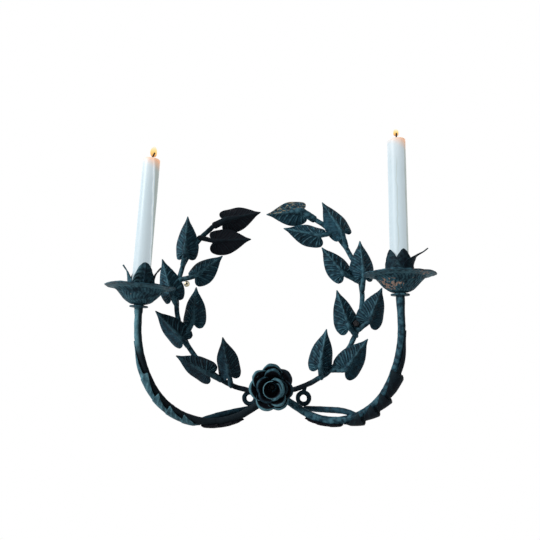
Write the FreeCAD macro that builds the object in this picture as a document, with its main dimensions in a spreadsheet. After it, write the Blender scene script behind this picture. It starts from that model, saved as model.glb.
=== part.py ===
import FreeCAD, Part
import math
import os
import Sketcher

# A two-light wall sconce of welded iron. The wall is the plane y = 0 and the sconce stands out
# towards -Y. x = 0 is the axis of the leaf wreath, and z = 0 is the height of the hanging eyes.

SIZES = {
    # Centre boss, which backs on to the wall behind the rose and carries everything else.
    "boss_x": 5,
    "boss_z": 8,
    "boss_radius": 14,
    "boss_length": 30,
    # Wreath: two round rods on one circle, parallel to the wall.
    "wreath_radius": 123,
    "wreath_foot_height": 7,
    "wreath_depth": 7,
    "stem_radius": 3.25,
    "left_stem_end": 126,
    "right_stem_end": 61,
    "left_stem_foot": 268,
    "right_stem_foot": -86,
    # Heart-shaped leaves.
    "leaf_width": 33,
    "leaf_fold": 25,
    "leaf_sheet": 1.2,
    "midrib_tip_radius": 0.8,
    "weld_bite": 1.2,
    "tail_stub": 2,
    "elbow_swell": 0.3,
    "elbow_roll": 30,
    "elbow_inset": 1,
    # Hanging eyes.
    "eye_radius": 10.5,
    "eye_hole_radius": 5,
    "eye_thickness": 5,
    "eye_spacing": 69,
    "eye_centre_x": 10,
    # Arms: a straight from the boss, the belly, the shoulder and an upright riser.
    "arm_radius": 4.5,
    "arm_depth": 13,
    "arm_drop": 30,
    "shoulder_radius": 150,
    "shoulder_turn": 30,
    "left_arm_angle": 196,
    "left_arm_root_height": 4,
    "left_straight_inset": 86.5,
    "left_belly_radius": 86,
    "left_riser": 19.5,
    "right_arm_angle": -22,
    "right_arm_root_height": 10,
    "right_straight_inset": 78,
    "right_belly_radius": 77,
    "right_riser": 32.5,
    # Acanthus sheaths round the outside of each arm.
    "sheath_sheet": 1,
    "sheath_gap": 0.1,
    "sheath_half_wrap": 70,
    "lower_sheath_from": -20,
    "sheath_node": 10,
    "node_gap": 1.5,
    "upper_sheath_shoulder_turn": 18,
    # Stays from the hanging eyes to the arms.
    "stay_radius": 3.25,
    "stay_wall_gap": 0.5,
    "left_stay_station": 11,
    "right_stay_station": 24,
    # Cup: collar, drip pan, calyx, socket and the screw that clamps them.
    "left_lean": 2.5,
    "right_lean": 1.1,
    "screw_radius": 2,
    "screw_gap": 0.1,
    "screw_head_radius": 4,
    "screw_head_height": 1.8,
    "screw_thread_length": 12,
    "collar_radius": 11.2,
    "collar_flange": 2,
    "neck_radius": 6.3,
    "neck_height": 1.5,
    "pan_radius": 42,
    "pan_depth": 21.5,
    "pan_bowl_radius": 29,
    "pan_flare": 4.5,
    "pan_floor_radius": 7,
    "pan_sheet": 1.2,
    "seat_foot_radius": 6,
    "seat_rise": 4,
    "seat_gap": 0.2,
    "calyx_sheet": 0.8,
    "calyx_gap": 0.5,
    "calyx_height": 51,
    "calyx_bell_height": 26,
    "calyx_bell_flare": 1.5,
    "calyx_tip_flare": 9,
    "calyx_notch_depth": 14,
    "left_calyx_turn": 0,
    "right_calyx_turn": 45,
    "socket_wall": 0.8,
    "socket_fit": 0.4,
    "socket_depth": 18,
    # Candles.
    "candle_radius": 11,
    "left_candle_length": 181,
    "right_candle_length": 185,
    "wick_radius": 0.8,
    "wick_fit": 0.05,
    "wick_free_length": 6,
    # Rose.
    "rose_height": 15.5,
    "rose_sheet": 1.2,
    "rose_radius": 28,
    "rose_outer_height": 14,
    "rose_outer_floor": 16,
    "rose_middle_radius": 20,
    "rose_middle_height": 20,
    "rose_middle_floor": 14.4,
    "rose_bud_radius": 13,
    "rose_bud_height": 25,
    "rivet_radius": 2,
    "rivet_head_radius": 4,
    "rivet_head_height": 2,
    "rivet_crown_radius": 2,
    "rivet_grip": 10,
    # Wall screws, each placed from the root of its leaf, with its seat at its own distance from the wall.
    "wall_screw_radius": 1.75,
    "wall_screw_head_radius": 4,
    "wall_screw_head_height": 2.5,
    "wall_screw_slot_width": 1.2,
    "wall_screw_slot_length": 4.4,
    "wall_screw_slot_depth": 1,
    "left_wall_screw_across": 11.74,
    "left_wall_screw_up": -5.57,
    "left_wall_screw_reach": 10,
    "right_wall_screw_across": 0.234,
    "right_wall_screw_up": 14.529,
    "right_wall_screw_reach": 16.3,
    "wall_screw_gap": 0.3,
}

# Each leaf, by hand: station of its weld on the wreath circle (degrees from +X), length and heading
# of its tail seen from the front, heading and length of its blade, roll about its midrib, how far the
# blade stands in front of the tail's root, where the weld is on the stem (1 on its front, 0 in line
# with it), and the tail's radius.
LEAF_FIELDS = ("station", "tail", "tail_heading", "heading", "blade", "roll", "lift", "front", "tail_radius")
LEAVES = {
    "leaf_left_1": (126, 15, 22, 13, 49, 0, 4, 0, 4.2),
    "leaf_left_2": (139, 22, 343, 3, 49, 0, 7, 0.8, 3),
    "leaf_left_3": (159, 14, 74, 88, 52, 0, 6, 1, 3),
    "leaf_left_4": (169, 24.5, 9, 38, 45, 0, 8, 0.2, 3),
    "leaf_left_5": (184, 10, 110, 107, 52, 0, 8, 1, 3),
    "leaf_left_6": (206, 23.5, 60, 86, 47, 0, 8, 0.2, 3),
    "leaf_left_7": (211, 11, 126, 135, 51, 0, 8, 1, 3),
    "leaf_left_8": (240, 17.5, 153, 152, 48, 0, 6, 1, 3),
    "leaf_left_9": (247, 14, 99, 101, 48, 0, 6, 1, 3),
    "leaf_right_1": (61, 18, 149, 185, 48, 0, 4, 0, 4.6),
    "leaf_right_2": (45, 20.5, 197, 167, 49, 0, 8, 0.2, 3),
    "leaf_right_3": (33, 19, 107, 122, 49, 0, 8, 1, 3),
    "leaf_right_4": (9, 25, 156, 128, 46, 0, 8, 0.2, 3),
    "leaf_right_5": (4, 17, 86, 94, 48, 0, 8, 1, 3),
    "leaf_right_6": (-24, 13, 132, 107, 51, 0, 6, 1, 3),
    "leaf_right_7": (-21, 18, 38, 67, 48, 0, 6, 1, 3),
    "leaf_right_8": (-57, 13, 98, 79, 49, 0, 8, 1, 3),
    "leaf_right_9": (-50, 17.5, 0, 52, 50, 0, 8, 0.6, 3),
}
# Leaves whose tail passes behind a neighbour and is coped where it is welded to it.
NEIGHBOURS = {
    "leaf_left_6": "leaf_left_7",
    "leaf_right_2": "leaf_right_3",
    "leaf_right_4": "leaf_right_5",
}
# The leaf that each wall screw holds, and the side where the screw's shank passes through its lobe.
SCREW_LEAVES = {"left": "leaf_left_4", "right": "leaf_right_6"}
SCREWED_SIDE = "right"

doc = FreeCAD.newDocument("wall_sconce")
sheet = doc.addObject("Spreadsheet::Sheet", "Sizes")
aliases = []
nodes = []


def add_cell(name, content):
    """Write one spreadsheet cell with its alias."""
    aliases.append(name)
    row = len(aliases)
    sheet.set(f"A{row}", name)
    sheet.set(f"B{row}", str(content))
    sheet.setAlias(f"B{row}", name)


def fill_sheet():
    """Fill the sheet with the driving sizes and the places that follow from them."""
    for name, value in SIZES.items():
        add_cell(name, value)
    add_cell("wreath_height", "=wreath_radius + wreath_foot_height")
    add_cell("stack_pan", "=collar_flange + neck_height")
    add_cell("stack_calyx", "=stack_pan + pan_sheet")
    add_cell("stack_socket", "=stack_calyx + calyx_sheet")
    add_cell("socket_bore", "=candle_radius + socket_fit")
    add_cell("socket_outer", "=socket_bore + socket_wall")
    add_cell("calyx_waist", "=socket_outer + calyx_gap + calyx_sheet")
    add_cell("seat_slope", "=seat_rise / (socket_outer - seat_foot_radius)")
    candle_cone = "seat_slope * (candle_radius - seat_foot_radius)"
    add_cell("candle_foot", f"=stack_socket + socket_wall + seat_gap + {candle_cone}")
    for side in ("left", "right"):
        add_arm_places(side)
    for leaf, values in LEAVES.items():
        add_leaf_places(leaf, values)
    for side, leaf in SCREW_LEAVES.items():
        add_cell(f"{side}_wall_screw_x", f"={leaf}_root_x + {side}_wall_screw_across")
        add_cell(f"{side}_wall_screw_z", f"={leaf}_root_z + {side}_wall_screw_up")
    doc.recompute()


def add_arm_places(side):
    """Work out the arm's joints in its own upright plane, and the cup's place from them."""
    straight = f"{side}_straight"
    belly = f"{side}_belly_radius"
    add_cell(straight, f"=wreath_radius - {side}_straight_inset")
    heading = "(90 - shoulder_turn)"
    add_cell(f"{side}_belly_x", f"={straight} * cos(arm_drop) + {belly} * sin(arm_drop)")
    belly_rise = f"{belly} * cos(arm_drop) - {straight} * sin(arm_drop)"
    add_cell(f"{side}_belly_z", f"={side}_arm_root_height + {belly_rise}")
    add_cell(f"{side}_shoulder_x", f"={side}_belly_x + ({belly} - shoulder_radius) * sin{heading}")
    add_cell(f"{side}_shoulder_z", f"={side}_belly_z - ({belly} - shoulder_radius) * cos{heading}")
    add_cell(f"{side}_riser_x", f"={side}_shoulder_x + shoulder_radius")
    add_cell(f"{side}_cup_x", f"=boss_x + {side}_riser_x * cos({side}_arm_angle)")
    add_cell(f"{side}_cup_y", f"=-arm_depth + {side}_riser_x * sin({side}_arm_angle)")
    add_cell(f"{side}_cup_z", f"={side}_shoulder_z + {side}_riser")


def add_leaf_places(leaf, values):
    """Work out where one leaf's tail leaves the stem and where its blade begins."""
    for field, value in zip(LEAF_FIELDS, values):
        add_cell(f"{leaf}_{field}", value)
    add_cell(f"{leaf}_root_x", f"=wreath_radius * cos({leaf}_station)")
    weld_reach = f"(stem_radius + {leaf}_tail_radius - weld_bite)"
    add_cell(f"{leaf}_root_y", f"=-wreath_depth - {leaf}_front * {weld_reach}")
    add_cell(f"{leaf}_root_z", f"=wreath_height + wreath_radius * sin({leaf}_station)")
    add_cell(f"{leaf}_tail_x", f"={leaf}_tail * cos({leaf}_tail_heading)")
    add_cell(f"{leaf}_tail_z", f"={leaf}_tail * sin({leaf}_tail_heading)")
    add_cell(f"{leaf}_span", f"=sqrt(pow({leaf}_tail; 2) + pow({leaf}_lift; 2))")


def sized(text):
    """Turn a formula in sheet aliases into an expression, by naming the sheet before each alias."""
    words = []
    word = ""
    for letter in text + " ":
        if letter.isalnum() or letter == "_":
            word += letter
            continue
        words.append("Sizes." + word if word in aliases else word)
        words.append(letter)
        word = ""
    return "".join(words).strip()


def value_of(text):
    """Evaluate a formula in sheet aliases to a plain number."""
    result = sheet.evalExpression(str(text))
    return float(getattr(result, "Value", result))


def bind(feature, **formulas):
    """Bind each named property of a feature to a formula in sheet aliases."""
    for name, formula in formulas.items():
        feature.setExpression(name, sized(str(formula)))
    return feature


def frame(x=0, y=0, z=0, yaw=0, pitch=0, roll=0):
    """Formula of a placement from a point and yaw, pitch and roll."""
    return f"placement(vector({x}; {y}; {z}); rotation({yaw}; {pitch}; {roll}))"


def primitive(kind, name, place, **formulas):
    """Add a Part primitive with its sizes and its placement bound to the sheet."""
    solid = doc.addObject(kind, name)
    return bind(solid, Placement=place, **formulas)


def combine(kind, name, first, others):
    """Cut each of the others in turn from the first solid, or fuse each with it."""
    for number, other in enumerate(others):
        result = doc.addObject(kind, f"{name}_step_{number}")
        result.Base = first
        result.Tool = other
        first = result
    return first


def keep(solid, label):
    """Mark a finished sub-part for export under its own name."""
    solid.Label = label
    nodes.append(solid)
    return solid


def new_body(name, place):
    """Start a PartDesign body at a place bound to the sheet."""
    body = doc.addObject("PartDesign::Body", name)
    bind(body, Placement=place)
    return body


def new_sketch(body, name, plane, tilt=None):
    """Start a sketch on one of the body's own origin planes."""
    sketch = body.newObject("Sketcher::SketchObject", name)
    planes = {feature.Role: feature for feature in body.Origin.OriginFeatures}
    sketch.AttachmentSupport = [(planes[plane], "")]
    sketch.MapMode = "FlatFace"
    if tilt is not None:
        bind(sketch, AttachmentOffset=frame(roll=tilt))
    return sketch


def arc_between(start, end, bend):
    """Arc of radius |bend| * chord that bulges left of travel if bend > 0, right if bend < 0."""
    chord = end - start
    radius = abs(bend) * chord.Length
    drop = math.sqrt(radius ** 2 - (chord.Length / 2) ** 2)
    side = FreeCAD.Vector(chord.y, -chord.x, 0).normalize()
    centre = start + chord / 2 + side * drop * math.copysign(1, bend)
    first, last = (end, start) if bend > 0 else (start, end)
    circle = Part.Circle(centre, FreeCAD.Vector(0, 0, 1), radius)
    return Part.ArcOfCircle(circle, circle.parameter(first), circle.parameter(last))


def draw_outline(sketch, corners):
    """Draw a closed outline of lines and arcs whose corners and radii are bound to the sheet.

    Each corner is (x, y, bend): bend 0 is a straight side up to the corner, and any other is an
    arc of radius |bend| times its chord.
    """
    points = [FreeCAD.Vector(value_of(x), value_of(y), 0) for x, y, _ in corners]
    sides = []
    for number, (_, _, bend) in enumerate(corners):
        start = points[number - 1]
        end = points[number]
        edge = arc_between(start, end, bend) if bend else Part.LineSegment(start, end)
        index = sketch.addGeometry(edge, False)
        sides.append((index, (2, 1) if bend > 0 else (1, 2)))
    for number, (index, (_, tail)) in enumerate(sides):
        following, (head, _) = sides[(number + 1) % len(sides)]
        sketch.addConstraint(Sketcher.Constraint("Coincident", index, tail, following, head))
        hold_corner(sketch, index, tail, points[number], corners[number])
        if corners[number][2]:
            hold_radius(sketch, index, corners[number - 1], corners[number])


def hold_corner(sketch, index, end, point, corner):
    """Hold one corner at its bound distances from the sketch's axes, or on an axis."""
    distances = (("DistanceX", -2, point.x, corner[0]), ("DistanceY", -1, point.y, corner[1]))
    for kind, axis, value, formula in distances:
        if str(formula) == "0":
            sketch.addConstraint(Sketcher.Constraint("PointOnObject", index, end, axis))
            continue
        number = sketch.addConstraint(Sketcher.Constraint(kind, -1, 1, index, end, value))
        sketch.setExpression(f"Constraints[{number}]", sized(str(formula)))


def hold_radius(sketch, index, start, end):
    """Hold an arc's radius in proportion to its chord."""
    chord = f"sqrt(pow({end[0]} - ({start[0]}); 2) + pow({end[1]} - ({start[1]}); 2))"
    formula = f"{abs(end[2])} * {chord}"
    number = sketch.addConstraint(Sketcher.Constraint("Radius", index, value_of(formula)))
    sketch.setExpression(f"Constraints[{number}]", sized(formula))


def revolve(body, sketch, name, angle=360):
    """Turn a sketch about its own upright axis."""
    turned = body.newObject("PartDesign::Revolution", name)
    turned.Profile = sketch
    turned.ReferenceAxis = (sketch, ["V_Axis"])
    bind(turned, Angle=angle)
    return turned


def pad(body, sketch, name, length, centred=False):
    """Raise a sketch by a bound length."""
    raised = body.newObject("PartDesign::Pad", name)
    raised.Profile = sketch
    raised.Midplane = centred
    bind(raised, Length=length)
    return raised


def repeat_round(body, feature, name, axis, angle, count):
    """Repeat a feature round one of the body's axes."""
    doc.recompute()
    pattern = body.newObject("PartDesign::PolarPattern", name)
    axes = {item.Role: item for item in body.Origin.OriginFeatures}
    pattern.Originals = [feature]
    pattern.Axis = (axes[axis], [""])
    pattern.Angle = angle
    pattern.Occurrences = count
    body.Tip = pattern
    return pattern


def arc_rod(name, place, radius, rod_radius, sweep):
    """Round rod bent to an arc: it starts on the frame's X axis and sweeps about its Z axis."""
    return primitive("Part::Torus", name, place, Radius1=radius, Radius2=rod_radius, Angle3=sweep)


def upright_arc(x, y, z, start):
    """Frame of an arc in an upright plane, starting at an angle above the plane's own +X."""
    return frame(x, y, z, 0, f"-({start})", 90)


def make_boss():
    """Round block against the wall that the arms and the stems are welded to."""
    place = frame("boss_x", 0, "boss_z", roll=90)
    blank = primitive("Part::Cylinder", "boss_blank", place, Radius="boss_radius", Height="boss_length")
    hole_place = frame("boss_x", "-boss_length + rivet_grip", "rose_height", roll=90)
    hole = primitive("Part::Cylinder", "rivet_hole", hole_place,
                     Radius="rivet_radius + screw_gap", Height="rivet_grip")
    return keep(combine("Part::Cut", "centre_boss", blank, [hole]), "centre_boss")


def make_stem(side, boss):
    """One half of the wreath circle, cut off where it meets the boss."""
    start, sweep = {
        "left": ("left_stem_end", "left_stem_foot - left_stem_end"),
        "right": ("right_stem_foot", "right_stem_end - right_stem_foot"),
    }[side]
    place = upright_arc(0, "-wreath_depth", "wreath_height", start)
    rod = arc_rod(f"{side}_stem_rod", place, "wreath_radius", "stem_radius", sweep)
    return keep(combine("Part::Cut", f"{side}_wreath_stem", rod, [boss]), f"{side}_wreath_stem")


def make_leaf(leaf, stem):
    """Folded heart-shaped blade on a rolled tail that is welded to the front of its stem."""
    base = (f"{leaf}_root_x + {leaf}_tail_x", f"{leaf}_root_y - {leaf}_lift",
            f"{leaf}_root_z + {leaf}_tail_z")
    blade_frame = frame(*base, 0, f"-{leaf}_heading", f"90 + {leaf}_roll")
    body = new_body(f"{leaf}_blade", blade_frame)
    sketch = new_sketch(body, f"{leaf}_half", "XY_Plane", "-leaf_fold")
    length = f"{leaf}_blade"
    draw_outline(sketch, [
        ("0", "0", 0),
        (f"{length} * 0.16", "leaf_width * 0.5", 0.53),
        (f"{length} * 0.66", "leaf_width * 0.21", 1.2),
        (f"{length}", "0", -2.2),
    ])
    half = pad(body, sketch, f"{leaf}_sheet", "leaf_sheet", centred=True)
    doc.recompute()
    mirror = body.newObject("PartDesign::Mirrored", f"{leaf}_other_half")
    planes = {feature.Role: feature for feature in body.Origin.OriginFeatures}
    mirror.Originals = [half]
    mirror.MirrorPlane = (planes["XZ_Plane"], [""])
    body.Tip = mirror
    rib = primitive("Part::Cone", f"{leaf}_midrib", f"{blade_frame} * {frame(x='elbow_inset', pitch=90)}",
                    Radius1=f"{leaf}_tail_radius", Radius2="midrib_tip_radius", Height=f"{length} * 0.6")
    elbow = primitive("Part::Sphere", f"{leaf}_elbow", frame(*base, roll="elbow_roll"),
                      Radius=f"{leaf}_tail_radius + elbow_swell")
    stub = f"tail_stub / {leaf}_span"
    start = (
        f"{leaf}_root_x - {leaf}_tail_x * {stub}",
        f"{leaf}_root_y + {leaf}_lift * {stub}",
        f"{leaf}_root_z - {leaf}_tail_z * {stub}",
    )
    tail_frame = frame(*start, f"atan2(-{leaf}_lift; {leaf}_tail_x)", f"acos({leaf}_tail_z / {leaf}_span)")
    tail = primitive("Part::Cylinder", f"{leaf}_tail", tail_frame,
                     Radius=f"{leaf}_tail_radius", Height=f"{leaf}_span + tail_stub - elbow_inset")
    whole = combine("Part::Fuse", f"{leaf}_whole", rib, [elbow, tail, body])
    tools = [stem]
    if leaf in NEIGHBOURS:
        tools.append(next(node for node in nodes if node.Label == NEIGHBOURS[leaf]))
    if leaf == SCREW_LEAVES[SCREWED_SIDE]:
        tools.append(screw_clearance(leaf))
    return keep(combine("Part::Cut", leaf, whole, tools), leaf)


def screw_clearance(leaf):
    """Round notch in a leaf's lobe where the wall screw's shank passes."""
    place = frame(f"{SCREWED_SIDE}_wall_screw_x", 0, f"{SCREWED_SIDE}_wall_screw_z", roll=90)
    return primitive("Part::Cylinder", f"{leaf}_screw_notch", place,
                     Radius="wall_screw_radius + wall_screw_gap",
                     Height=f"{SCREWED_SIDE}_wall_screw_reach * 2")


def make_eye(side, stem):
    """Ring that the sconce hangs by, flat against the wall and welded under its stem."""
    hand = "-" if side == "left" else "+"
    place = frame(f"eye_centre_x {hand} eye_spacing / 2", 0, 0, roll=90)
    ring = primitive("Part::Cylinder", f"{side}_eye_disc", place, Radius="eye_radius", Height="eye_thickness")
    hole = primitive("Part::Cylinder", f"{side}_eye_hole", place,
                     Radius="eye_hole_radius", Height="eye_thickness")
    return keep(combine("Part::Cut", f"{side}_hanging_eye", ring, [hole, stem]), f"{side}_hanging_eye")


def make_arm(side, boss):
    """J-shaped rod in its own upright plane, from the boss to the cup, tapped for the cup's screw."""
    plane = frame("boss_x", "-arm_depth", 0, f"{side}_arm_angle")
    root = frame(0, 0, f"{side}_arm_root_height", pitch="90 + arm_drop")
    straight = primitive("Part::Cylinder", f"{side}_arm_straight", root,
                         Radius="arm_radius", Height=f"{side}_straight")
    belly_place = upright_arc(f"{side}_belly_x", 0, f"{side}_belly_z", "-90 - arm_drop")
    belly_sweep = "arm_drop + 90 - shoulder_turn"
    belly = arc_rod(f"{side}_arm_belly", belly_place, f"{side}_belly_radius", "arm_radius", belly_sweep)
    shoulder_place = upright_arc(f"{side}_shoulder_x", 0, f"{side}_shoulder_z", "-shoulder_turn")
    shoulder = arc_rod(f"{side}_arm_shoulder", shoulder_place,
                       "shoulder_radius", "arm_radius", "shoulder_turn")
    riser_place = frame(f"{side}_riser_x", 0, f"{side}_shoulder_z")
    riser = primitive("Part::Cylinder", f"{side}_arm_riser", riser_place,
                      Radius="arm_radius", Height=f"{side}_riser")
    rod = combine("Part::Fuse", f"{side}_arm_rod", straight, [belly, shoulder, riser])
    bind(rod, Placement=plane)
    hole_place = f"{cup_frame(side)} * {frame(z='-screw_thread_length')}"
    hole = primitive("Part::Cylinder", f"{side}_tapped_hole", hole_place,
                     Radius="screw_radius + screw_gap", Height="screw_thread_length * 2")
    return keep(combine("Part::Cut", f"{side}_arm", rod, [boss, hole]), f"{side}_arm")


def cup_frame(side):
    """Frame on the arm's upper end that the whole cup shares, leaned as one."""
    return frame(f"{side}_cup_x", f"{side}_cup_y", f"{side}_cup_z", pitch=f"{side}_lean")


def sheath_piece(name, side, centre, radius, start, sweep):
    """Length of C-shaped sheath round the outside of one of the arm's arcs."""
    plane = frame("boss_x", "-arm_depth", 0, f"{side}_arm_angle")
    place = upright_arc(f"{side}_{centre}_x", 0, f"{side}_{centre}_z", start)
    body = new_body(name, f"{plane} * {place}")
    sketch = new_sketch(body, f"{name}_section", "XZ_Plane")
    inner = "(arm_radius + sheath_gap)"
    outer = "(arm_radius + sheath_gap + sheath_sheet)"
    reach = "cos(sheath_half_wrap)"
    height = "sin(sheath_half_wrap)"
    round_bend = 0.5 / value_of(height)
    draw_outline(sketch, [
        (f"{radius} + {inner} * {reach}", f"-{inner} * {height}", round_bend),
        (f"{radius} + {outer} * {reach}", f"-{outer} * {height}", 0),
        (f"{radius} + {outer} * {reach}", f"{outer} * {height}", -round_bend),
        (f"{radius} + {inner} * {reach}", f"{inner} * {height}", 0),
    ])
    revolve(body, sketch, f"{name}_turn", sweep)
    return body


def make_collar(side, arm):
    """Shouldered washer that the drip pan stands on."""
    body = new_body(f"{side}_collar_blank", cup_frame(side))
    sketch = new_sketch(body, f"{side}_collar_outline", "XZ_Plane")
    bore = "screw_radius + screw_gap"
    draw_outline(sketch, [
        (bore, "0", 0),
        ("collar_radius", "0", 0),
        ("collar_radius", "collar_flange", 0),
        ("neck_radius", "collar_flange", 0),
        ("neck_radius", "stack_pan", 0),
        (bore, "stack_pan", 0),
    ])
    revolve(body, sketch, f"{side}_collar_turn")
    return keep(combine("Part::Cut", f"{side}_collar", body, [arm]), f"{side}_collar")


def make_pan(side):
    """Shallow spun pan with a flared rim that catches the wax."""
    body = new_body(f"{side}_drip_pan", cup_frame(side))
    sketch = new_sketch(body, f"{side}_pan_outline", "XZ_Plane")
    bore = "screw_radius + screw_gap"
    bowl_edge = "stack_pan + pan_depth - pan_flare"
    rim = "stack_pan + pan_depth"
    draw_outline(sketch, [
        (bore, "stack_pan", 0),
        ("pan_floor_radius", "stack_pan", 0),
        ("pan_bowl_radius", bowl_edge, -1.3),
        ("pan_radius", rim, 0),
        ("pan_radius", f"{rim} + pan_sheet", 0),
        ("pan_bowl_radius", f"{bowl_edge} + pan_sheet", 0),
        ("pan_floor_radius", "stack_pan + pan_sheet", 1.3),
        (bore, "stack_pan + pan_sheet", 0),
    ])
    revolve(body, sketch, f"{side}_pan_turn")
    return keep(body, f"{side}_drip_pan")


def make_calyx(side):
    """Four-petal cup of thin sheet that stands in the pan round the candle's socket."""
    turn = frame(yaw=f"{side}_calyx_turn")
    body = new_body(f"{side}_calyx", f"{cup_frame(side)} * {turn}")
    sketch = new_sketch(body, f"{side}_calyx_outline", "XZ_Plane")
    bore = "screw_radius + screw_gap"
    waist_z = "stack_calyx + seat_slope * (calyx_waist - seat_foot_radius)"
    bell_x = "calyx_waist + calyx_bell_flare"
    bell_z = "stack_calyx + calyx_bell_height"
    tip_x = "calyx_waist + calyx_bell_flare + calyx_tip_flare"
    tip_z = "stack_calyx + calyx_height"
    draw_outline(sketch, [
        (bore, "stack_calyx", 0),
        ("seat_foot_radius", "stack_calyx", 0),
        ("calyx_waist", waist_z, 0),
        (bell_x, bell_z, 0),
        (tip_x, tip_z, 1.4),
        (f"{tip_x} - calyx_sheet", tip_z, 0),
        (f"{bell_x} - calyx_sheet", bell_z, -1.4),
        ("calyx_waist - calyx_sheet", f"{waist_z} + calyx_sheet * (1 - seat_slope)", 0),
        ("seat_foot_radius", "stack_calyx + calyx_sheet", 0),
        (bore, "stack_calyx + calyx_sheet", 0),
    ])
    revolve(body, sketch, f"{side}_calyx_turned")
    notch_sketch = new_sketch(body, f"{side}_calyx_notch_outline", "XZ_Plane")
    draw_outline(notch_sketch, [
        ("0", f"{tip_z} - calyx_notch_depth", 0),
        (f"({tip_x}) * 0.71", f"{tip_z} + calyx_sheet", 0),
        (f"-({tip_x}) * 0.71", f"{tip_z} + calyx_sheet", 0),
    ])
    notch = cut_through(body, notch_sketch, f"{side}_calyx_notch")
    repeat_round(body, notch, f"{side}_calyx_notches", "Z_Axis", 90, 2)
    return keep(body, f"{side}_calyx")


def cut_through(body, sketch, name):
    """Cut a sketch right through the body, both ways."""
    doc.recompute()
    cut = body.newObject("PartDesign::Pocket", name)
    cut.Profile = sketch
    cut.Type = "ThroughAll"
    cut.Midplane = True
    return cut


def make_socket(side):
    """Thin cup that grips the foot of the candle."""
    body = new_body(f"{side}_candle_socket", cup_frame(side))
    sketch = new_sketch(body, f"{side}_socket_outline", "XZ_Plane")
    bore = "screw_radius + screw_gap"
    foot = "seat_foot_radius - seat_gap"
    cone = "seat_slope * (socket_outer - seat_foot_radius + seat_gap)"
    inner_cone = "seat_slope * (socket_bore - seat_foot_radius + seat_gap)"
    rim = "stack_socket + socket_wall + seat_rise + socket_depth"
    draw_outline(sketch, [
        (bore, "stack_socket", 0),
        (foot, "stack_socket", 0),
        ("socket_outer", f"stack_socket + {cone}", 0),
        ("socket_outer", rim, 0),
        ("socket_bore", rim, 0),
        ("socket_bore", f"stack_socket + socket_wall + {inner_cone}", 0),
        (foot, "stack_socket + socket_wall", 0),
        (bore, "stack_socket + socket_wall", 0),
    ])
    revolve(body, sketch, f"{side}_socket_turn")
    return keep(body, f"{side}_candle_socket")


def make_socket_screw(side):
    """Cheese-head screw from the socket's floor down into the arm."""
    seat = "stack_socket + socket_wall"
    body = new_body(f"{side}_socket_screw", cup_frame(side))
    sketch = new_sketch(body, f"{side}_screw_outline", "XZ_Plane")
    draw_outline(sketch, [
        ("0", "-screw_thread_length + collar_flange", 0),
        ("screw_radius", "-screw_thread_length + collar_flange", 0),
        ("screw_radius", seat, 0),
        ("screw_head_radius", seat, 0),
        ("screw_head_radius", f"{seat} + screw_head_height", 0),
        ("0", f"{seat} + screw_head_height", 0),
    ])
    revolve(body, sketch, f"{side}_screw_turn")
    return keep(body, f"{side}_socket_screw")


def make_candle(side):
    """Household candle on a wick that runs its whole length."""
    place = f"{cup_frame(side)} * {frame(z='candle_foot')}"
    length = f"{side}_candle_length"
    wax = primitive("Part::Cylinder", f"{side}_wax", place, Radius="candle_radius", Height=length)
    bore = primitive("Part::Cylinder", f"{side}_wick_bore", place,
                     Radius="wick_radius + wick_fit", Height=length)
    keep(combine("Part::Cut", f"{side}_candle", wax, [bore]), f"{side}_candle")
    wick = primitive("Part::Cylinder", f"{side}_wick", place,
                     Radius="wick_radius", Height=f"{length} + wick_free_length")
    keep(wick, f"{side}_wick")


def make_rose_layer(label, floor_z, floor_radius, rim_radius, rim_z, bend, petals):
    """One pressed layer of the rose: a dish with notches between its petals."""
    body = new_body(label, rose_frame())
    sketch = new_sketch(body, f"{label}_outline", "XZ_Plane")
    bore = "rivet_radius + screw_gap"
    draw_outline(sketch, [
        (bore, floor_z, 0),
        (floor_radius, floor_z, 0),
        (rim_radius, rim_z, bend),
        (f"{rim_radius} - rose_sheet", f"{rim_z} + rose_sheet * 0.5", 0),
        (f"{floor_radius} - rose_sheet * 0.5", f"{floor_z} + rose_sheet", -bend),
        (bore, f"{floor_z} + rose_sheet", 0),
    ])
    revolve(body, sketch, f"{label}_turned")
    notch_sketch = new_sketch(body, f"{label}_notch_outline", "XY_Plane")
    draw_outline(notch_sketch, [
        (f"{rim_radius} - ({rim_radius} - {floor_radius}) * 0.6", "0", 0),
        (f"{rim_radius} + rose_sheet", f"-{rim_radius} * 0.1", 0),
        (f"{rim_radius} + rose_sheet", f"{rim_radius} * 0.1", 0),
    ])
    notch = cut_through(body, notch_sketch, f"{label}_notch")
    repeat_round(body, notch, f"{label}_notches", "Z_Axis", 360, petals)
    return keep(body, label)


def rose_frame():
    """Frame on the front of the boss with its Z axis pointing away from the wall."""
    return frame("boss_x", "-boss_length", "rose_height", roll=90)


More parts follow.
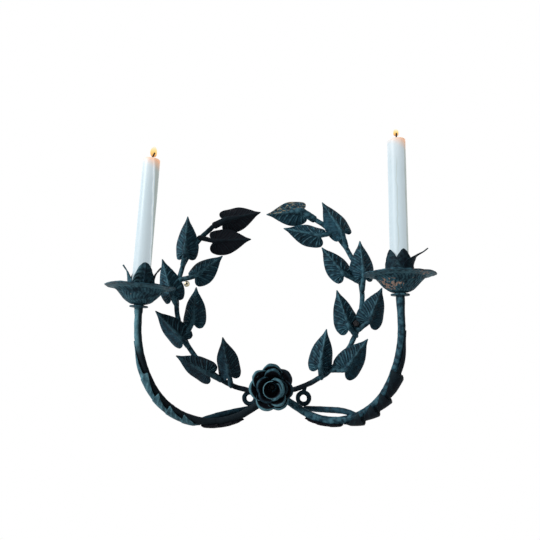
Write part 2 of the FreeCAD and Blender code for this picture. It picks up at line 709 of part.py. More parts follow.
def make_rose():
    """Rose of an outer and a middle layer and a rolled bud, riveted to the boss."""
    make_rose_layer("rose_outer_petals", "0", "rose_outer_floor", "rose_radius", "rose_outer_height", -0.9, 5)
    make_rose_layer("rose_middle_petals", "rose_sheet", "rose_middle_floor", "rose_middle_radius",
                    "rose_middle_height", -1.2, 4)
    body = new_body("rose_inner_bud", rose_frame())
    sketch = new_sketch(body, "bud_outline", "XZ_Plane")
    bore = "rivet_radius + screw_gap"
    draw_outline(sketch, [
        (bore, "rose_sheet * 2", 0),
        ("rose_bud_radius", "rose_sheet * 2", 0),
        ("rose_bud_radius", "rose_bud_height", 0),
        ("rose_bud_radius - rose_sheet", "rose_bud_height", 0),
        ("rose_bud_radius - rose_sheet", "rose_sheet * 3", 0),
        (bore, "rose_sheet * 3", 0),
    ])
    revolve(body, sketch, "bud_turned")
    keep(body, "rose_inner_bud")
    rivet = new_body("rose_rivet", rose_frame())
    rivet_sketch = new_sketch(rivet, "rivet_outline", "XZ_Plane")
    draw_outline(rivet_sketch, [
        ("0", "-rivet_grip", 0),
        ("rivet_radius", "-rivet_grip", 0),
        ("rivet_radius", "rose_sheet * 3", 0),
        ("rivet_head_radius", "rose_sheet * 3", 0),
        ("rivet_crown_radius", "rose_sheet * 3 + rivet_head_height", -1),
        ("0", "rose_sheet * 3 + rivet_head_height", 0),
    ])
    revolve(rivet, rivet_sketch, "rivet_turned")
    keep(rivet, "rose_rivet")


def make_wall_screw(side):
    """Cross-head screw beside the stem; it is cut off at the wall's face."""
    place = frame(f"{side}_wall_screw_x", 0, f"{side}_wall_screw_z", roll=90)
    body = new_body(f"{side}_wall_screw", place)
    sketch = new_sketch(body, f"{side}_wall_screw_outline", "XZ_Plane")
    reach = f"{side}_wall_screw_reach"
    draw_outline(sketch, [
        ("0", "0", 0),
        ("wall_screw_radius", "0", 0),
        ("wall_screw_radius", reach, 0),
        ("wall_screw_head_radius", reach, 0),
        ("0", f"{reach} + wall_screw_head_height", -1),
    ])
    revolve(body, sketch, f"{side}_wall_screw_turn")
    doc.recompute()
    for number, (long_way, short_way) in enumerate((("length", "width"), ("width", "length"))):
        slot = new_sketch(body, f"{side}_slot_{number}_outline", "XY_Plane")
        bind(slot, AttachmentOffset=frame(z=f"{reach} + wall_screw_head_height - wall_screw_slot_depth"))
        half_x = f"wall_screw_slot_{long_way} / 2"
        half_y = f"wall_screw_slot_{short_way} / 2"
        draw_outline(slot, [
            (half_x, half_y, 0),
            (f"-({half_x})", half_y, 0),
            (f"-({half_x})", f"-({half_y})", 0),
            (half_x, f"-({half_y})", 0),
        ])
        recess = body.newObject("PartDesign::Pocket", f"{side}_slot_{number}")
        recess.Profile = slot
        recess.Reversed = True
        bind(recess, Length="wall_screw_head_height")
        doc.recompute()
    return keep(body, f"{side}_wall_screw")


def make_stay(side, eye, arm):
    """Straight brace from under the hanging eye to the arm's belly."""
    hand = "-" if side == "left" else "+"
    start_x = f"(eye_centre_x {hand} eye_spacing / 2)"
    start_y = "(-stay_radius - stay_wall_gap)"
    start_z = "(-eye_radius - stay_radius + weld_bite)"
    reach = f"({side}_belly_x + {side}_belly_radius * sin({side}_stay_station))"
    end_x = f"(boss_x + {reach} * cos({side}_arm_angle))"
    end_y = f"(-arm_depth + {reach} * sin({side}_arm_angle))"
    end_z = f"({side}_belly_z - {side}_belly_radius * cos({side}_stay_station))"
    span = f"sqrt(pow({end_x} - {start_x}; 2) + pow({end_y} - {start_y}; 2) + pow({end_z} - {start_z}; 2))"
    place = frame(start_x, start_y, start_z,
                  f"atan2({end_y} - {start_y}; {end_x} - {start_x})", f"acos(({end_z} - {start_z}) / {span})")
    rod = primitive("Part::Cylinder", f"{side}_stay_rod", place, Radius="stay_radius", Height=span)
    return keep(combine("Part::Cut", f"{side}_stay", rod, [eye, arm]), f"{side}_stay")


def make_arm_leaves(side):
    """Two acanthus sheaths on each arm, growing both ways from a node under the belly."""
    belly = f"{side}_belly_radius"
    lower_sweep = "sheath_node - node_gap / 2 - lower_sheath_from"
    lower_start = "-90 + lower_sheath_from"
    lower = sheath_piece(f"{side}_arm_leaf_lower", side, "belly", belly, lower_start, lower_sweep)
    keep(lower, f"{side}_arm_leaf_lower")
    upper_start = "-90 + sheath_node + node_gap / 2"
    upper_sweep = "90 - shoulder_turn - sheath_node - node_gap / 2"
    first = sheath_piece(f"{side}_sheath_belly", side, "belly", belly, upper_start, upper_sweep)
    second = sheath_piece(f"{side}_sheath_shoulder", side, "shoulder", "shoulder_radius", "-shoulder_turn",
                          "upper_sheath_shoulder_turn")
    keep(combine("Part::Fuse", f"{side}_arm_leaf_upper", first, [second]), f"{side}_arm_leaf_upper")


def build():
    """Build every sub-part of the sconce."""
    boss = make_boss()
    for side in ("left", "right"):
        stem = make_stem(side, boss)
        for leaf in sorted(LEAVES, key=NEIGHBOURS.__contains__):
            if leaf.startswith(f"leaf_{side}_"):
                make_leaf(leaf, stem)
        eye = make_eye(side, stem)
        arm = make_arm(side, boss)
        make_stay(side, eye, arm)
        make_arm_leaves(side)
        make_collar(side, arm)
        make_pan(side)
        make_calyx(side)
        make_socket(side)
        make_socket_screw(side)
        make_candle(side)
        make_wall_screw(side)
    make_rose()
    doc.recompute()


def check_and_export():
    """Stop on any failed object or bad shape, then write one STEP file for each sub-part."""
    for item in doc.Objects:
        if "Invalid" in item.State or "Error" in item.State:
            raise RuntimeError(f"{item.Name} failed: {item.State}")
    for node in nodes:
        if node.Shape.isNull() or not node.Shape.isValid() or not node.Shape.Solids:
            raise RuntimeError(f"{node.Label} has no valid solid")
    os.makedirs("parts", exist_ok=True)
    for node in nodes:
        node.Shape.exportStep(f"parts/{node.Label}.step")
        print(f"{node.Label}: {len(node.Shape.Solids)} solid, {node.Shape.Volume:.0f} mm3")


fill_sheet()
build()
check_and_export()
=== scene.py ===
"""Two-light wall sconce of painted, hand-welded iron.

A leaf wreath lies against the wall, a rose sits at its foot, and two arms carry candles in petal cups.
Pieces are modelled in millimetres in the sconce's own frame and brought to metres when they are finished.
"""
from __future__ import annotations

import logging
import math
from contextlib import contextmanager
from dataclasses import dataclass
from enum import Enum
from typing import Callable, Iterable, Iterator, Sequence

import bpy
import numpy as np
from mathutils import Matrix, Vector

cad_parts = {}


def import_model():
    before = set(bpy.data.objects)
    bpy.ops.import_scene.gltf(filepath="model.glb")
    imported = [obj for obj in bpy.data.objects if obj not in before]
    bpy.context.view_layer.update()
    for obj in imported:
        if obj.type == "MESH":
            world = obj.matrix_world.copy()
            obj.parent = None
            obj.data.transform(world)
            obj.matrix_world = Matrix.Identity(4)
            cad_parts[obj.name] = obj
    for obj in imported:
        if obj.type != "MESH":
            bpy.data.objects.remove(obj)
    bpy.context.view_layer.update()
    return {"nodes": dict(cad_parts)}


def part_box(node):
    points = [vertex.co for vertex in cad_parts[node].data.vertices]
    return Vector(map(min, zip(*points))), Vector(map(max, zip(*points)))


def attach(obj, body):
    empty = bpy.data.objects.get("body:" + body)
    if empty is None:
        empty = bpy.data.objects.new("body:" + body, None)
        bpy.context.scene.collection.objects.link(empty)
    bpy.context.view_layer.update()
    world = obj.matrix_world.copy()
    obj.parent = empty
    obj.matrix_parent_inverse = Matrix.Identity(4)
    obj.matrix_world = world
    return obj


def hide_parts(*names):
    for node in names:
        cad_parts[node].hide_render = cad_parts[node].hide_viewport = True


LOG = logging.getLogger("sconce")
MM = 0.001
SCONCE = "sconce"

Colour = tuple[float, float, float]
Line = Sequence[Sequence[float]]


class Side(Enum):
    """Which half of the sconce a piece belongs to."""

    LEFT = "left"
    RIGHT = "right"


class Trait(Enum):
    """Point attributes that a finish reads."""

    # Lighter paint: worn thin on ridges, and painted highlight where a piece is marked lighter for the light it
    # gets.
    RUB_AND_HIGHLIGHT = "raised"
    # Painted shade: pieces marked here are darkened where light does not reach them.
    PAINTED_SHADE = "hollow"
    SPOTS = "spots"


# ---------------------------------------------------------------- shaping helpers


def wave(x: np.ndarray, seed: float) -> np.ndarray:
    """Slow uneven wave between about -1 and 1, for hand-made irregularity."""
    return (np.sin(x + seed) + np.sin(x * 1.7 + seed * 2.3) + np.sin(x * 2.9 + seed * 0.7)) / 3


def ease(x: np.ndarray, low: float, high: float) -> np.ndarray:
    """Smooth step from 0 at low to 1 at high."""
    t = np.clip((x - low) / (high - low), 0, 1)
    return t * t * (3 - 2 * t)


def bump(x: np.ndarray, width: float) -> np.ndarray:
    """Rounded ridge of height 1 about 0."""
    return np.exp(-((x / width) ** 2))


def smooth_line(points: Sequence[Sequence[float]], count: int) -> np.ndarray:
    """Smooth line through given points.

    Args:
        points: The points, of any one dimension.
        count: How many evenly spaced points to return.

    Returns:
        The points on the line, evenly spaced by length.
    """
    p = np.array(points, float)
    p = np.vstack([2 * p[0] - p[1], p, 2 * p[-1] - p[-2]])
    t = np.linspace(0, 1, 24, endpoint=False)[:, None]
    runs = []
    for a, b, c, d in zip(p[:-3], p[1:-2], p[2:-1], p[3:]):
        square, cube = 2 * a - 5 * b + 4 * c - d, 3 * b - a - 3 * c + d
        runs.append(0.5 * (2 * b + (c - a) * t + square * t**2 + cube * t**3))
    line = np.vstack(runs + [p[-2][None]])
    length = np.concatenate([[0], np.cumsum(np.linalg.norm(np.diff(line, axis=0), axis=1))])
    even = np.linspace(0, length[-1], count)
    return np.column_stack([np.interp(even, length, line[:, i]) for i in range(line.shape[1])])


def pick(values: Sequence[float], at: np.ndarray) -> np.ndarray:
    """Value at each share (0 to 1) of an evenly spaced list."""
    return np.interp(at, np.linspace(0, 1, len(values)), values)


def axes(x: Sequence[float], y: Sequence[float], z: Sequence[float], place: Sequence[float]) -> Matrix:
    """Matrix of a local frame from its axes and its origin.

    Args:
        x: Direction of the frame's X axis.
        y: Direction of its Y axis.
        z: Direction of its Z axis.
        place: Its origin.

    Returns:
        The matrix that takes the frame's points outside.
    """
    made = Matrix.Identity(4)
    for column, vector in enumerate((x, y, z, place)):
        for row in range(3):
            made[row][column] = vector[row]
    return made


class Piece:
    """One piece on the bench, in millimetres until it is finished."""

    def __init__(self, obj: bpy.types.Object) -> None:
        """Take an object that has just been added."""
        self.obj = obj

    @staticmethod
    def clear() -> None:
        """Leave edit mode and deselect everything."""
        if bpy.context.object and bpy.context.object.mode != "OBJECT":
            bpy.ops.object.mode_set(mode="OBJECT")
        bpy.ops.object.select_all(action="DESELECT")

    @classmethod
    def sheet(cls, name: str, along: int, across: int) -> Piece:
        """Flat unit sheet with the given numbers of cells, x along and y across.

        Args:
            name: Name of the piece.
            along: Number of cells along X.
            across: Number of cells along Y.

        Returns:
            The sheet, from -0.5 to 0.5 both ways.
        """
        cls.clear()
        bpy.ops.mesh.primitive_grid_add(x_subdivisions=along, y_subdivisions=across, size=1, location=(0, 0, 0))
        return cls._named(name)

    @classmethod
    def turned(cls, name: str, outline: Sequence[Sequence[float]], sides: int) -> Piece:
        """Open shell turned about Z.

        Args:
            name: Name of the piece.
            outline: Radius and height of each ring, from the first to the last.
            sides: Number of sides of each ring.

        Returns:
            The shell, with its first and last rings left open.
        """
        cls.clear()
        (radius, height), *rest = outline
        bpy.ops.mesh.primitive_circle_add(vertices=sides, radius=radius, location=(0, 0, height))
        piece = cls._named(name)
        bpy.ops.object.transform_apply(location=True, rotation=False, scale=False)
        with piece.editing():
            for next_radius, next_height in rest:
                bpy.ops.mesh.extrude_edges_move(TRANSFORM_OT_translate={"value": (0, 0, next_height - height)})
                scale = next_radius / radius
                bpy.ops.transform.resize(value=(scale, scale, 1), center_override=(0, 0, next_height))
                radius, height = next_radius, next_height
        return piece

    @classmethod
    def rod(cls, name: str, path: np.ndarray, radii: Sequence[float] | float, sides: int = 16) -> Piece:
        """Round rod along a path.

        Args:
            name: Name of the piece.
            path: Points of its centre line.
            radii: Its radius at each point, or one radius all along.
            sides: Number of sides of its section.

        Returns:
            The rod as a closed mesh.
        """
        cls.clear()
        bpy.ops.curve.primitive_bezier_curve_add()
        obj = bpy.context.object
        obj.data.splines.clear()
        spline = obj.data.splines.new("POLY")
        spline.points.add(len(path) - 1)
        sizes = np.broadcast_to(np.array(radii, float), (len(path),))
        spline.points.foreach_set("co", np.column_stack([path, np.ones(len(path))]).ravel())
        spline.points.foreach_set("radius", sizes.astype(float).copy())
        obj.data.dimensions = "3D"
        obj.data.twist_mode = "MINIMUM"
        obj.data.bevel_depth = 1
        obj.data.bevel_resolution = sides // 2 - 1
        obj.data.use_fill_caps = True
        bpy.ops.object.convert(target="MESH")
        return cls._named(name).weld(0.001)

    @classmethod
    def _named(cls, name: str) -> Piece:
        """Take the object that an operator has just added and name it.

        Args:
            name: Its name.

        Returns:
            The piece.
        """
        obj = bpy.context.object
        obj.name = name
        obj.data.name = name
        return cls(obj)

    @contextmanager
    def editing(self) -> Iterator[None]:
        """Stay in edit mode for a while, with all of the mesh selected.

        Yields:
            Nothing: the operators act on what is selected.
        """
        self.select()
        bpy.ops.object.mode_set(mode="EDIT")
        bpy.ops.mesh.select_all(action="SELECT")
        yield
        bpy.ops.object.mode_set(mode="OBJECT")

    def points(self) -> np.ndarray:
        """Vertex positions, one row each.

        Returns:
            An array of three columns.
        """
        co = np.empty(len(self.obj.data.vertices) * 3, np.float32)
        self.obj.data.vertices.foreach_get("co", co)
        return co.reshape(-1, 3).astype(float)

    def normals(self) -> np.ndarray:
        """Direction in which the surface faces at each vertex."""
        return np.array([vertex.normal[:] for vertex in self.obj.data.vertices])

    def form(self, shape: Callable[[np.ndarray], np.ndarray]) -> Piece:
        """Beat the piece to shape: every point moves where shape puts it.

        Args:
            shape: Takes all the points and gives them back moved.

        Returns:
            The piece itself.
        """
        moved = shape(self.points())
        self.obj.data.vertices.foreach_set("co", moved.astype(np.float32).ravel())
        self.obj.data.update()
        return self

    def mark(self, trait: Trait, values: np.ndarray | float) -> Piece:
        """Store a trait for the finish to read.

        Args:
            trait: Which trait.
            values: One value a point, or one for the whole piece; kept between 0 and 1.

        Returns:
            The piece itself.
        """
        attribute = self.obj.data.attributes.new(trait.value, "FLOAT", "POINT")
        count = len(self.obj.data.vertices)
        attribute.data.foreach_set("value", np.full(count, np.clip(values, 0, 1), np.float32))
        return self

    def modify(self, kind: str, **settings: object) -> Piece:
        """Add a modifier with its settings and apply it.

        Args:
            kind: Type of the modifier.
            settings: Its settings by name.

        Returns:
            The piece itself.
        """
        self.select()
        bpy.ops.object.modifier_add(type=kind)
        modifier = self.obj.modifiers[-1]
        for key, value in settings.items():
            setattr(modifier, key, value)
        bpy.ops.object.modifier_apply(modifier=modifier.name)
        return self

    def thicken(self, sheet: float, offset: float = 0) -> Piece:
        """Give a shell its wall."""
        return self.modify("SOLIDIFY", thickness=sheet, offset=offset, use_even_offset=False, use_rim=True)

    def hammer(self, depth: float, size: float) -> Piece:
        """Leave shallow uneven hammer marks all over.

        Args:
            depth: Depth of the marks.
            size: How far apart they lie.

        Returns:
            The piece itself.
        """
        texture = bpy.data.textures.new(f"{self.obj.name}_marks", "CLOUDS")
        texture.noise_scale = size
        texture.noise_depth = 1
        return self.modify("DISPLACE", texture=texture, strength=depth, mid_level=0.5, texture_coords="LOCAL")

    def weld(self, distance: float) -> Piece:
        """Merge points that meet, and turn all faces outwards.

        Args:
            distance: How near two points are when they meet.

        Returns:
            The piece itself.
        """
        with self.editing():
            bpy.ops.mesh.remove_doubles(threshold=distance)
            bpy.ops.mesh.normals_make_consistent(inside=False)
        return self

    def close(self) -> Piece:
        """Fill the open ends of a turned shell and turn all faces outwards.

        Returns:
            The piece itself.
        """
        with self.editing():
            bpy.ops.mesh.fill_holes(sides=0)
            bpy.ops.mesh.select_all(action="SELECT")
            bpy.ops.mesh.normals_make_consistent(inside=False)
        return self

    def paint_shade_inside(self) -> Piece:
        """Paint shade on the points whose surface faces the Z axis, inside the cup.

        Returns:
            The piece itself.
        """
        normals, p = self.normals(), self.points()
        radius = np.maximum(np.hypot(p[:, 0], p[:, 1]), 0.01)
        facing = (normals[:, 0] * p[:, 0] + normals[:, 1] * p[:, 1]) / radius
        hollow = self.obj.data.attributes[Trait.PAINTED_SHADE.value].data
        before = np.array([point.value for point in hollow])
        shade_amount = np.maximum(1 - ease(facing, -0.60, -0.10), before)
        hollow.foreach_set("value", shade_amount.astype(np.float32))
        return self

    def place(self, matrix: Matrix) -> Piece:
        """Move the mesh itself into another frame.

        Args:
            matrix: The frame that the mesh is in.

        Returns:
            The piece itself.
        """
        self.obj.data.transform(matrix)
        self.obj.data.update()
        return self

    def select(self) -> None:
        """Make this the one selected, active object."""
        self.clear()
        self.obj.select_set(True)
        bpy.context.view_layer.objects.active = self.obj

    def join(self, others: Iterable[Piece]) -> Piece:
        """Join other pieces into this one.

        Args:
            others: The pieces to take in.

        Returns:
            The piece itself.
        """
        self.select()
        for other in others:
            other.obj.select_set(True)
        bpy.ops.object.join()
        return self

    def finish(self, material: bpy.types.Material, slot: str, *nodes: str, body: str = SCONCE,
               crease: float = 50) -> bpy.types.Object:
        """Bring the piece to metres, dress it and tie it to the frame.

        Args:
            material: Its finish.
            slot: Name of its material slot; not used.
            nodes: CAD nodes that it stands for.
            body: CAD body that it rides on.
            crease: Angle in degrees above which an edge stays sharp.

        Returns:
            The finished object.
        """
        self.place(Matrix.Scale(MM, 4))
        self.select()
        bpy.ops.object.shade_smooth_by_angle(angle=math.radians(crease))
        self.obj.data.materials.clear()
        self.obj.data.materials.append(material)
        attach(self.obj, body)
        if nodes:
            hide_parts(*nodes)
        triangles = sum(len(polygon.vertices) - 2 for polygon in self.obj.data.polygons)
        LOG.info("%s: %d triangles", self.obj.name, triangles)
        return self.obj


# ---------------------------------------------------------------- finishes


class Value:
    """A shader socket whose sums are written as Python expressions."""

    def __init__(self, graph: Graph, socket: bpy.types.NodeSocket) -> None:
        """Wrap one output socket of a graph."""
        self.graph = graph
        self.socket = socket

    def _math(self, operation: str, first: object, second: object = 0.0) -> Value:
        """Add one Math node."""
        return self.graph.add("ShaderNodeMath", {"operation": operation}, {0: first, 1: second})

    def __add__(self, other: object) -> Value:
        """Sum."""
        return self._math("ADD", self, other)

    __radd__ = __add__

    def __sub__(self, other: object) -> Value:
        """Difference."""
        return self._math("SUBTRACT", self, other)

    def __rsub__(self, other: object) -> Value:
        """Difference from a number."""
        return self._math("SUBTRACT", other, self)

    def __mul__(self, other: object) -> Value:
        """Product."""
        return self._math("MULTIPLY", self, other)

    __rmul__ = __mul__

    def clamp(self) -> Value:
        """The value held between 0 and 1."""
        return self.graph.add("ShaderNodeClamp", {}, {0: self})

    def between(self, low: float, high: float) -> Value:
        """Smooth step from 0 at low to 1 at high."""
        settings = {"interpolation_type": "SMOOTHSTEP"}
        return self.graph.add("ShaderNodeMapRange", settings, {0: self, 1: low, 2: high, 3: 0.0, 4: 1.0})


class Graph:
    """The node tree of one material."""

    def __init__(self, name: str) -> None:
        """Start a material with nothing but its output.

        Args:
            name: Name of the material.
        """
        self.material = bpy.data.materials.new(name)
        self.material.use_nodes = True
        self.tree = self.material.node_tree
        self.tree.nodes.clear()
        self.output = self.tree.nodes.new("ShaderNodeOutputMaterial")
        self.position = self.add("ShaderNodeTexCoord", {}, {}, "Object")

    def add(self, kind: str, settings: dict[str, object], inputs: dict[object, object],
            output: int | str = 0) -> Value:
        """Add a node.

        Args:
            kind: Its type.
            settings: Its own settings, such as an operation, or a ramp's stops.
            inputs: Values or links of its sockets, by number or name.
            output: The output that is wanted.

        Returns:
            That output.
        """
        node = self.tree.nodes.new(kind)
        for key, value in settings.items():
            if key == "stops":
                self._set_stops(node, value)
            else:
                setattr(node, key, value)
        for key, value in inputs.items():
            self.link(node.inputs[key], value)
        return Value(self, node.outputs[output])

    @staticmethod
    def _set_stops(node: bpy.types.Node, stops: Sequence[tuple[float, Colour]]) -> None:
        """Set a colour ramp's stops.

        Args:
            node: The ramp.
            stops: Its stops, as the caller gives them.
        """
        elements = node.color_ramp.elements
        while len(elements) < len(stops):
            elements.new(0.5)
        for element, (place, colour) in zip(elements, stops):
            element.position = place
            element.color = (*colour, 1)

    def link(self, socket: bpy.types.NodeSocket, value: object) -> None:
        """Feed a socket from another socket, or set it.

        Args:
            socket: The socket to feed.
            value: A value of the graph, a socket, or a plain value.
        """
        if isinstance(value, Value):
            self.tree.links.new(value.socket, socket)
        elif isinstance(value, tuple) and len(value) == 3 and socket.type == "RGBA":
            socket.default_value = (*value, 1)
        else:
            socket.default_value = value

    def noise(self, scale: float, detail: float = 2, stretch: Colour = (1, 1, 1), offset: float = 0) -> Value:
        """Even noise about 0.5 on the object's own coordinates, features of about 1/scale metres.

        Args:
            scale: How many features to the metre.
            detail: How many finer layers lie on it.
            stretch: Scale along each axis on top of that.
            offset: Shift that sets one noise apart from another.

        Returns:
            The noise.
        """
        shift = (offset, offset, offset)
        place = self.add("ShaderNodeMapping", {}, {0: self.position, "Location": shift, "Scale": stretch})
        return self.add("ShaderNodeTexNoise", {}, {"Vector": place, "Scale": scale, "Detail": detail})

    def trait(self, trait: Trait) -> Value:
        """A point attribute of the piece, 0 where it has none."""
        return self.add("ShaderNodeAttribute", {"attribute_name": trait.value}, {}, "Fac")

    def mix(self, share: object, first: object, second: object) -> Value:
        """Colour between two colours."""
        return self.add("ShaderNodeMix", {"data_type": "RGBA"}, {0: share, 6: first, 7: second}, 2)

    def bump(self, height: Value, strength: float, distance: float) -> Value:
        """Normal of a surface with fine relief."""
        return self.add("ShaderNodeBump", {}, {"Height": height, "Strength": strength, "Distance": distance})

    def surface(self, **inputs: object) -> bpy.types.Material:
        """Finish with a Principled shader, whose sockets are named with _ for a space.

        Args:
            inputs: What each socket takes.

        Returns:
            The material.
        """
        named = {key.replace("_", " "): value for key, value in inputs.items()}
        shader = self.add("ShaderNodeBsdfPrincipled", {}, named)
        self.link(self.output.inputs["Surface"], shader)
        return self.material


@dataclass(frozen=True)
class PaintedIron:
    """Dark blue-green paint on hammered iron, worn lighter on its ridges, with painted highlights and painted
    shade where a piece is marked for them.
    """

    name: str
    deep: Colour = (0.0045, 0.0200, 0.0330)
    body: Colour = (0.0250, 0.0900, 0.1320)
    # Colour of worn ridges and of painted highlights.
    rubbed_and_lit: Colour = (0.165, 0.370, 0.440)
    # Colour of the painted shade.
    shade_black: Colour = (0.0048, 0.0052, 0.0085)
    copper: Colour = (0.26, 0.225, 0.155)
    copper_share: float = 0.08

    def build(self) -> bpy.types.Material:
        """Make the material.

        Returns:
            The material.
        """
        graph = Graph(self.name)
        broad = graph.noise(45, 3)
        mottle = graph.noise(190, 4, offset=0.3)
        grain = graph.noise(1100, 3, offset=0.7)
        raised, hollow, spots = (graph.trait(trait) for trait in Trait)
        tone = (broad * 0.35 + mottle * 0.85 - 0.1).between(0.30, 0.66)
        colour = graph.mix(tone, self.deep, self.body)
        # Lighter paint where marked: wear on ridges, and painted highlight.
        rub_and_highlight_mix = ((raised * 0.9 + mottle * 1.1 - 0.70) * (grain * 1.1 + 0.45)).clamp()
        colour = graph.mix(rub_and_highlight_mix, colour, self.rubbed_and_lit)
        # Painted shade, mixed in where a piece is marked for it.
        colour = graph.mix(hollow, colour, self.shade_black)
        worn_noise = graph.noise(300, 6, offset=1.9)
        worn = (worn_noise + (spots * 0.30 + raised * self.copper_share - 0.30)).between(0.49, 0.56)
        colour = graph.mix(worn * (grain * 1.0 + 0.4).clamp(), colour, self.copper)
        rough = (mottle * 0.3 + grain * 0.2 + 0.26 + hollow * 0.25).clamp()
        relief = mottle * 0.7 + grain * 0.3
        return graph.surface(Base_Color=colour, Roughness=rough, Metallic=worn * 0.4,
                             Specular_IOR_Level=0.09, Normal=graph.bump(relief, 0.65, 0.0015))


@dataclass(frozen=True)
class PlainMetal:
    """Bare metal with a fine grain, painted with shade, and not metallic, where a piece is marked for it."""

    name: str
    tint: Colour
    dark: Colour
    roughness: float = 0.35

    def build(self) -> bpy.types.Material:
        """Make the material.

        Returns:
            The material.
        """
        graph = Graph(self.name)
        mottle = graph.noise(420, 4)
        grain = graph.noise(2600, 3, offset=0.4)
        hollow = graph.trait(Trait.PAINTED_SHADE)
        colour = graph.mix(mottle.between(0.35, 0.7), self.dark, self.tint)
        colour = graph.mix(hollow, colour, (0.006, 0.006, 0.006))
        rough = grain * 0.2 + mottle * 0.15 + (self.roughness - 0.17)
        return graph.surface(Base_Color=colour, Roughness=rough, Metallic=1 - hollow,
                             Normal=graph.bump(grain, 0.2, 0.0003))


@dataclass(frozen=True)
class Wax:
    """Blue-white candle wax that glows with painted light to even out its shading, warm where the flame lights
    it from above.
    """

    name: str
    foot: Vector
    axis: Vector
    length: float

    def build(self) -> bpy.types.Material:
        """Make the material, with its warm end measured up from the candle's foot.

        Returns:
            The material.
        """
        graph = Graph(self.name)
        up = graph.add("ShaderNodeSeparateXYZ", {}, {0: graph.position}, 2)
        side = graph.add("ShaderNodeSeparateXYZ", {}, {0: graph.position}, 0)
        top = self.foot + self.axis * self.length
        across = (side - top.x) * (1 / (CANDLE_RADIUS * MM))
        # Painted light of the flame on the wax: warm and pink near the top, more on the right.
        near_end = (up - top.z) * 45.0 + 0.62 + across * 0.32
        warm = near_end.between(0.0, 0.95)
        pink = ((up - top.z) * 16.0 + 0.72 + across * 0.1).between(0.0, 1.0)
        cloud = graph.noise(60, 3, (1, 1, 0.35))
        streak = graph.noise(230, 3, (1, 1, 0.12), offset=0.6)
        colour = graph.mix(cloud.between(0.3, 0.7), (0.26, 0.335, 0.375), (0.30, 0.365, 0.405))
        colour = graph.mix(streak.between(0.6, 0.8) * 0.18, colour, (0.24, 0.29, 0.31))
        # Painted shade beside the run of wax, together with the scratch in the wax.
        colour = graph.mix(graph.trait(Trait.PAINTED_SHADE) * 0.6, colour, (0.24, 0.27, 0.21))
        # Painted highlight along the run of wax.
        colour = graph.mix(graph.trait(Trait.RUB_AND_HIGHLIGHT) * 0.85, colour, (0.66, 0.70, 0.73))
        colour = graph.mix(pink * 0.4, colour, (0.80, 0.70, 0.68))
        colour = graph.mix(warm, colour, (0.90, 0.52, 0.34))
        relief = graph.noise(220, 3, (1, 1, 0.3))
        # Painted light: the wax emits this colour, dimmer in the painted shade, brighter along the run and warm
        # near the flame.
        painted_glow = graph.mix(graph.trait(Trait.PAINTED_SHADE) * 0.65, (0.40, 0.465, 0.495), (0.20, 0.225, 0.195))
        painted_glow = graph.mix(graph.trait(Trait.RUB_AND_HIGHLIGHT) * 0.6, painted_glow, (0.60, 0.67, 0.70))
        painted_glow = graph.mix(warm, painted_glow, (0.62, 0.36, 0.22))
        return graph.surface(Base_Color=colour, Roughness=cloud * 0.2 + 0.34, Specular_IOR_Level=0.3,
                             Emission_Color=painted_glow, Emission_Strength=1.0, Subsurface_Weight=0.5,
                             Subsurface_Scale=0.008, Subsurface_Radius=(1.0, 0.8, 0.7),
                             Normal=graph.bump(relief, 0.25, 0.0006))


@dataclass(frozen=True)
class Burning:
    """Flame: orange about the wick, yellow at its heart and pale towards its tip."""

    name: str
    foot_height: float
    height: float

    def build(self) -> bpy.types.Material:
        """Make the material.

        Returns:
            The material.
        """
        graph = Graph(self.name)
        up = graph.add("ShaderNodeSeparateXYZ", {}, {0: graph.position}, 2)
        flicker = graph.noise(160, 2)
        share = ((up - self.foot_height) * (1 / self.height) + flicker * 0.16 - 0.08).clamp()
        stops = [(0.0, (0.72, 0.30, 0.10)), (0.22, (0.98, 0.55, 0.17)), (0.5, (1.0, 0.76, 0.30)),
                 (0.75, (1.0, 0.88, 0.55)), (1.0, (1.0, 0.96, 0.82))]
        colour = graph.add("ShaderNodeValToRGB", {"stops": stops}, {0: share}, 0)
        solid = 1 - share.between(0.7, 1.0) * 0.7
        return graph.surface(Base_Color=(0.0, 0.0, 0.0), Roughness=1.0, Emission_Color=colour,
                             Emission_Strength=1.0, Specular_IOR_Level=0.0, Alpha=solid)


@dataclass(frozen=True)
class Charred:
    """Burnt cotton wick."""

    name: str

    def build(self) -> bpy.types.Material:
        """Make the material.

        Returns:
            The material.
        """
        graph = Graph(self.name)
        strands = graph.noise(1800, 3, (1, 1, 0.4))
        colour = graph.mix(strands, (0.004, 0.003, 0.003), (0.03, 0.022, 0.018))
        return graph.surface(Base_Color=colour, Roughness=strands * 0.2 + 0.75,
                             Normal=graph.bump(strands, 0.6, 0.0004))


# ---------------------------------------------------------------- sizes in millimetres and angles in radians

WREATH_RADIUS = 123.0
WREATH_HEIGHT = 130.0
WREATH_DEPTH = 7.0
STEM_RADIUS = 3.25
WELD_BITE = 1.2
BOSS_X = 5.0
ARM_DEPTH = 13.0
ARM_RADIUS = 4.5
ARM_DROP = math.radians(30)
SHOULDER_RADIUS = 150.0
SHOULDER_TURN = math.radians(30)
CANDLE_RADIUS = 11.0
CANDLE_FOOT = 9.73
STAY_TOP_Y = -3.75
STAY_TOP_Z = -10.5
EYE_X = {Side.LEFT: -24.5, Side.RIGHT: 44.5}
CALYX_FOOT = ((7.0, 6.6), (10.8, 10.6), (13.2, 16.0), (14.2, 24.0))


def on_wreath(angle: float, y: float) -> Vector:
    """Point of the wreath's circle at an angle in degrees, at a depth."""
    a = math.radians(angle)
    return Vector((WREATH_RADIUS * math.cos(a), y, WREATH_HEIGHT + WREATH_RADIUS * math.sin(a)))


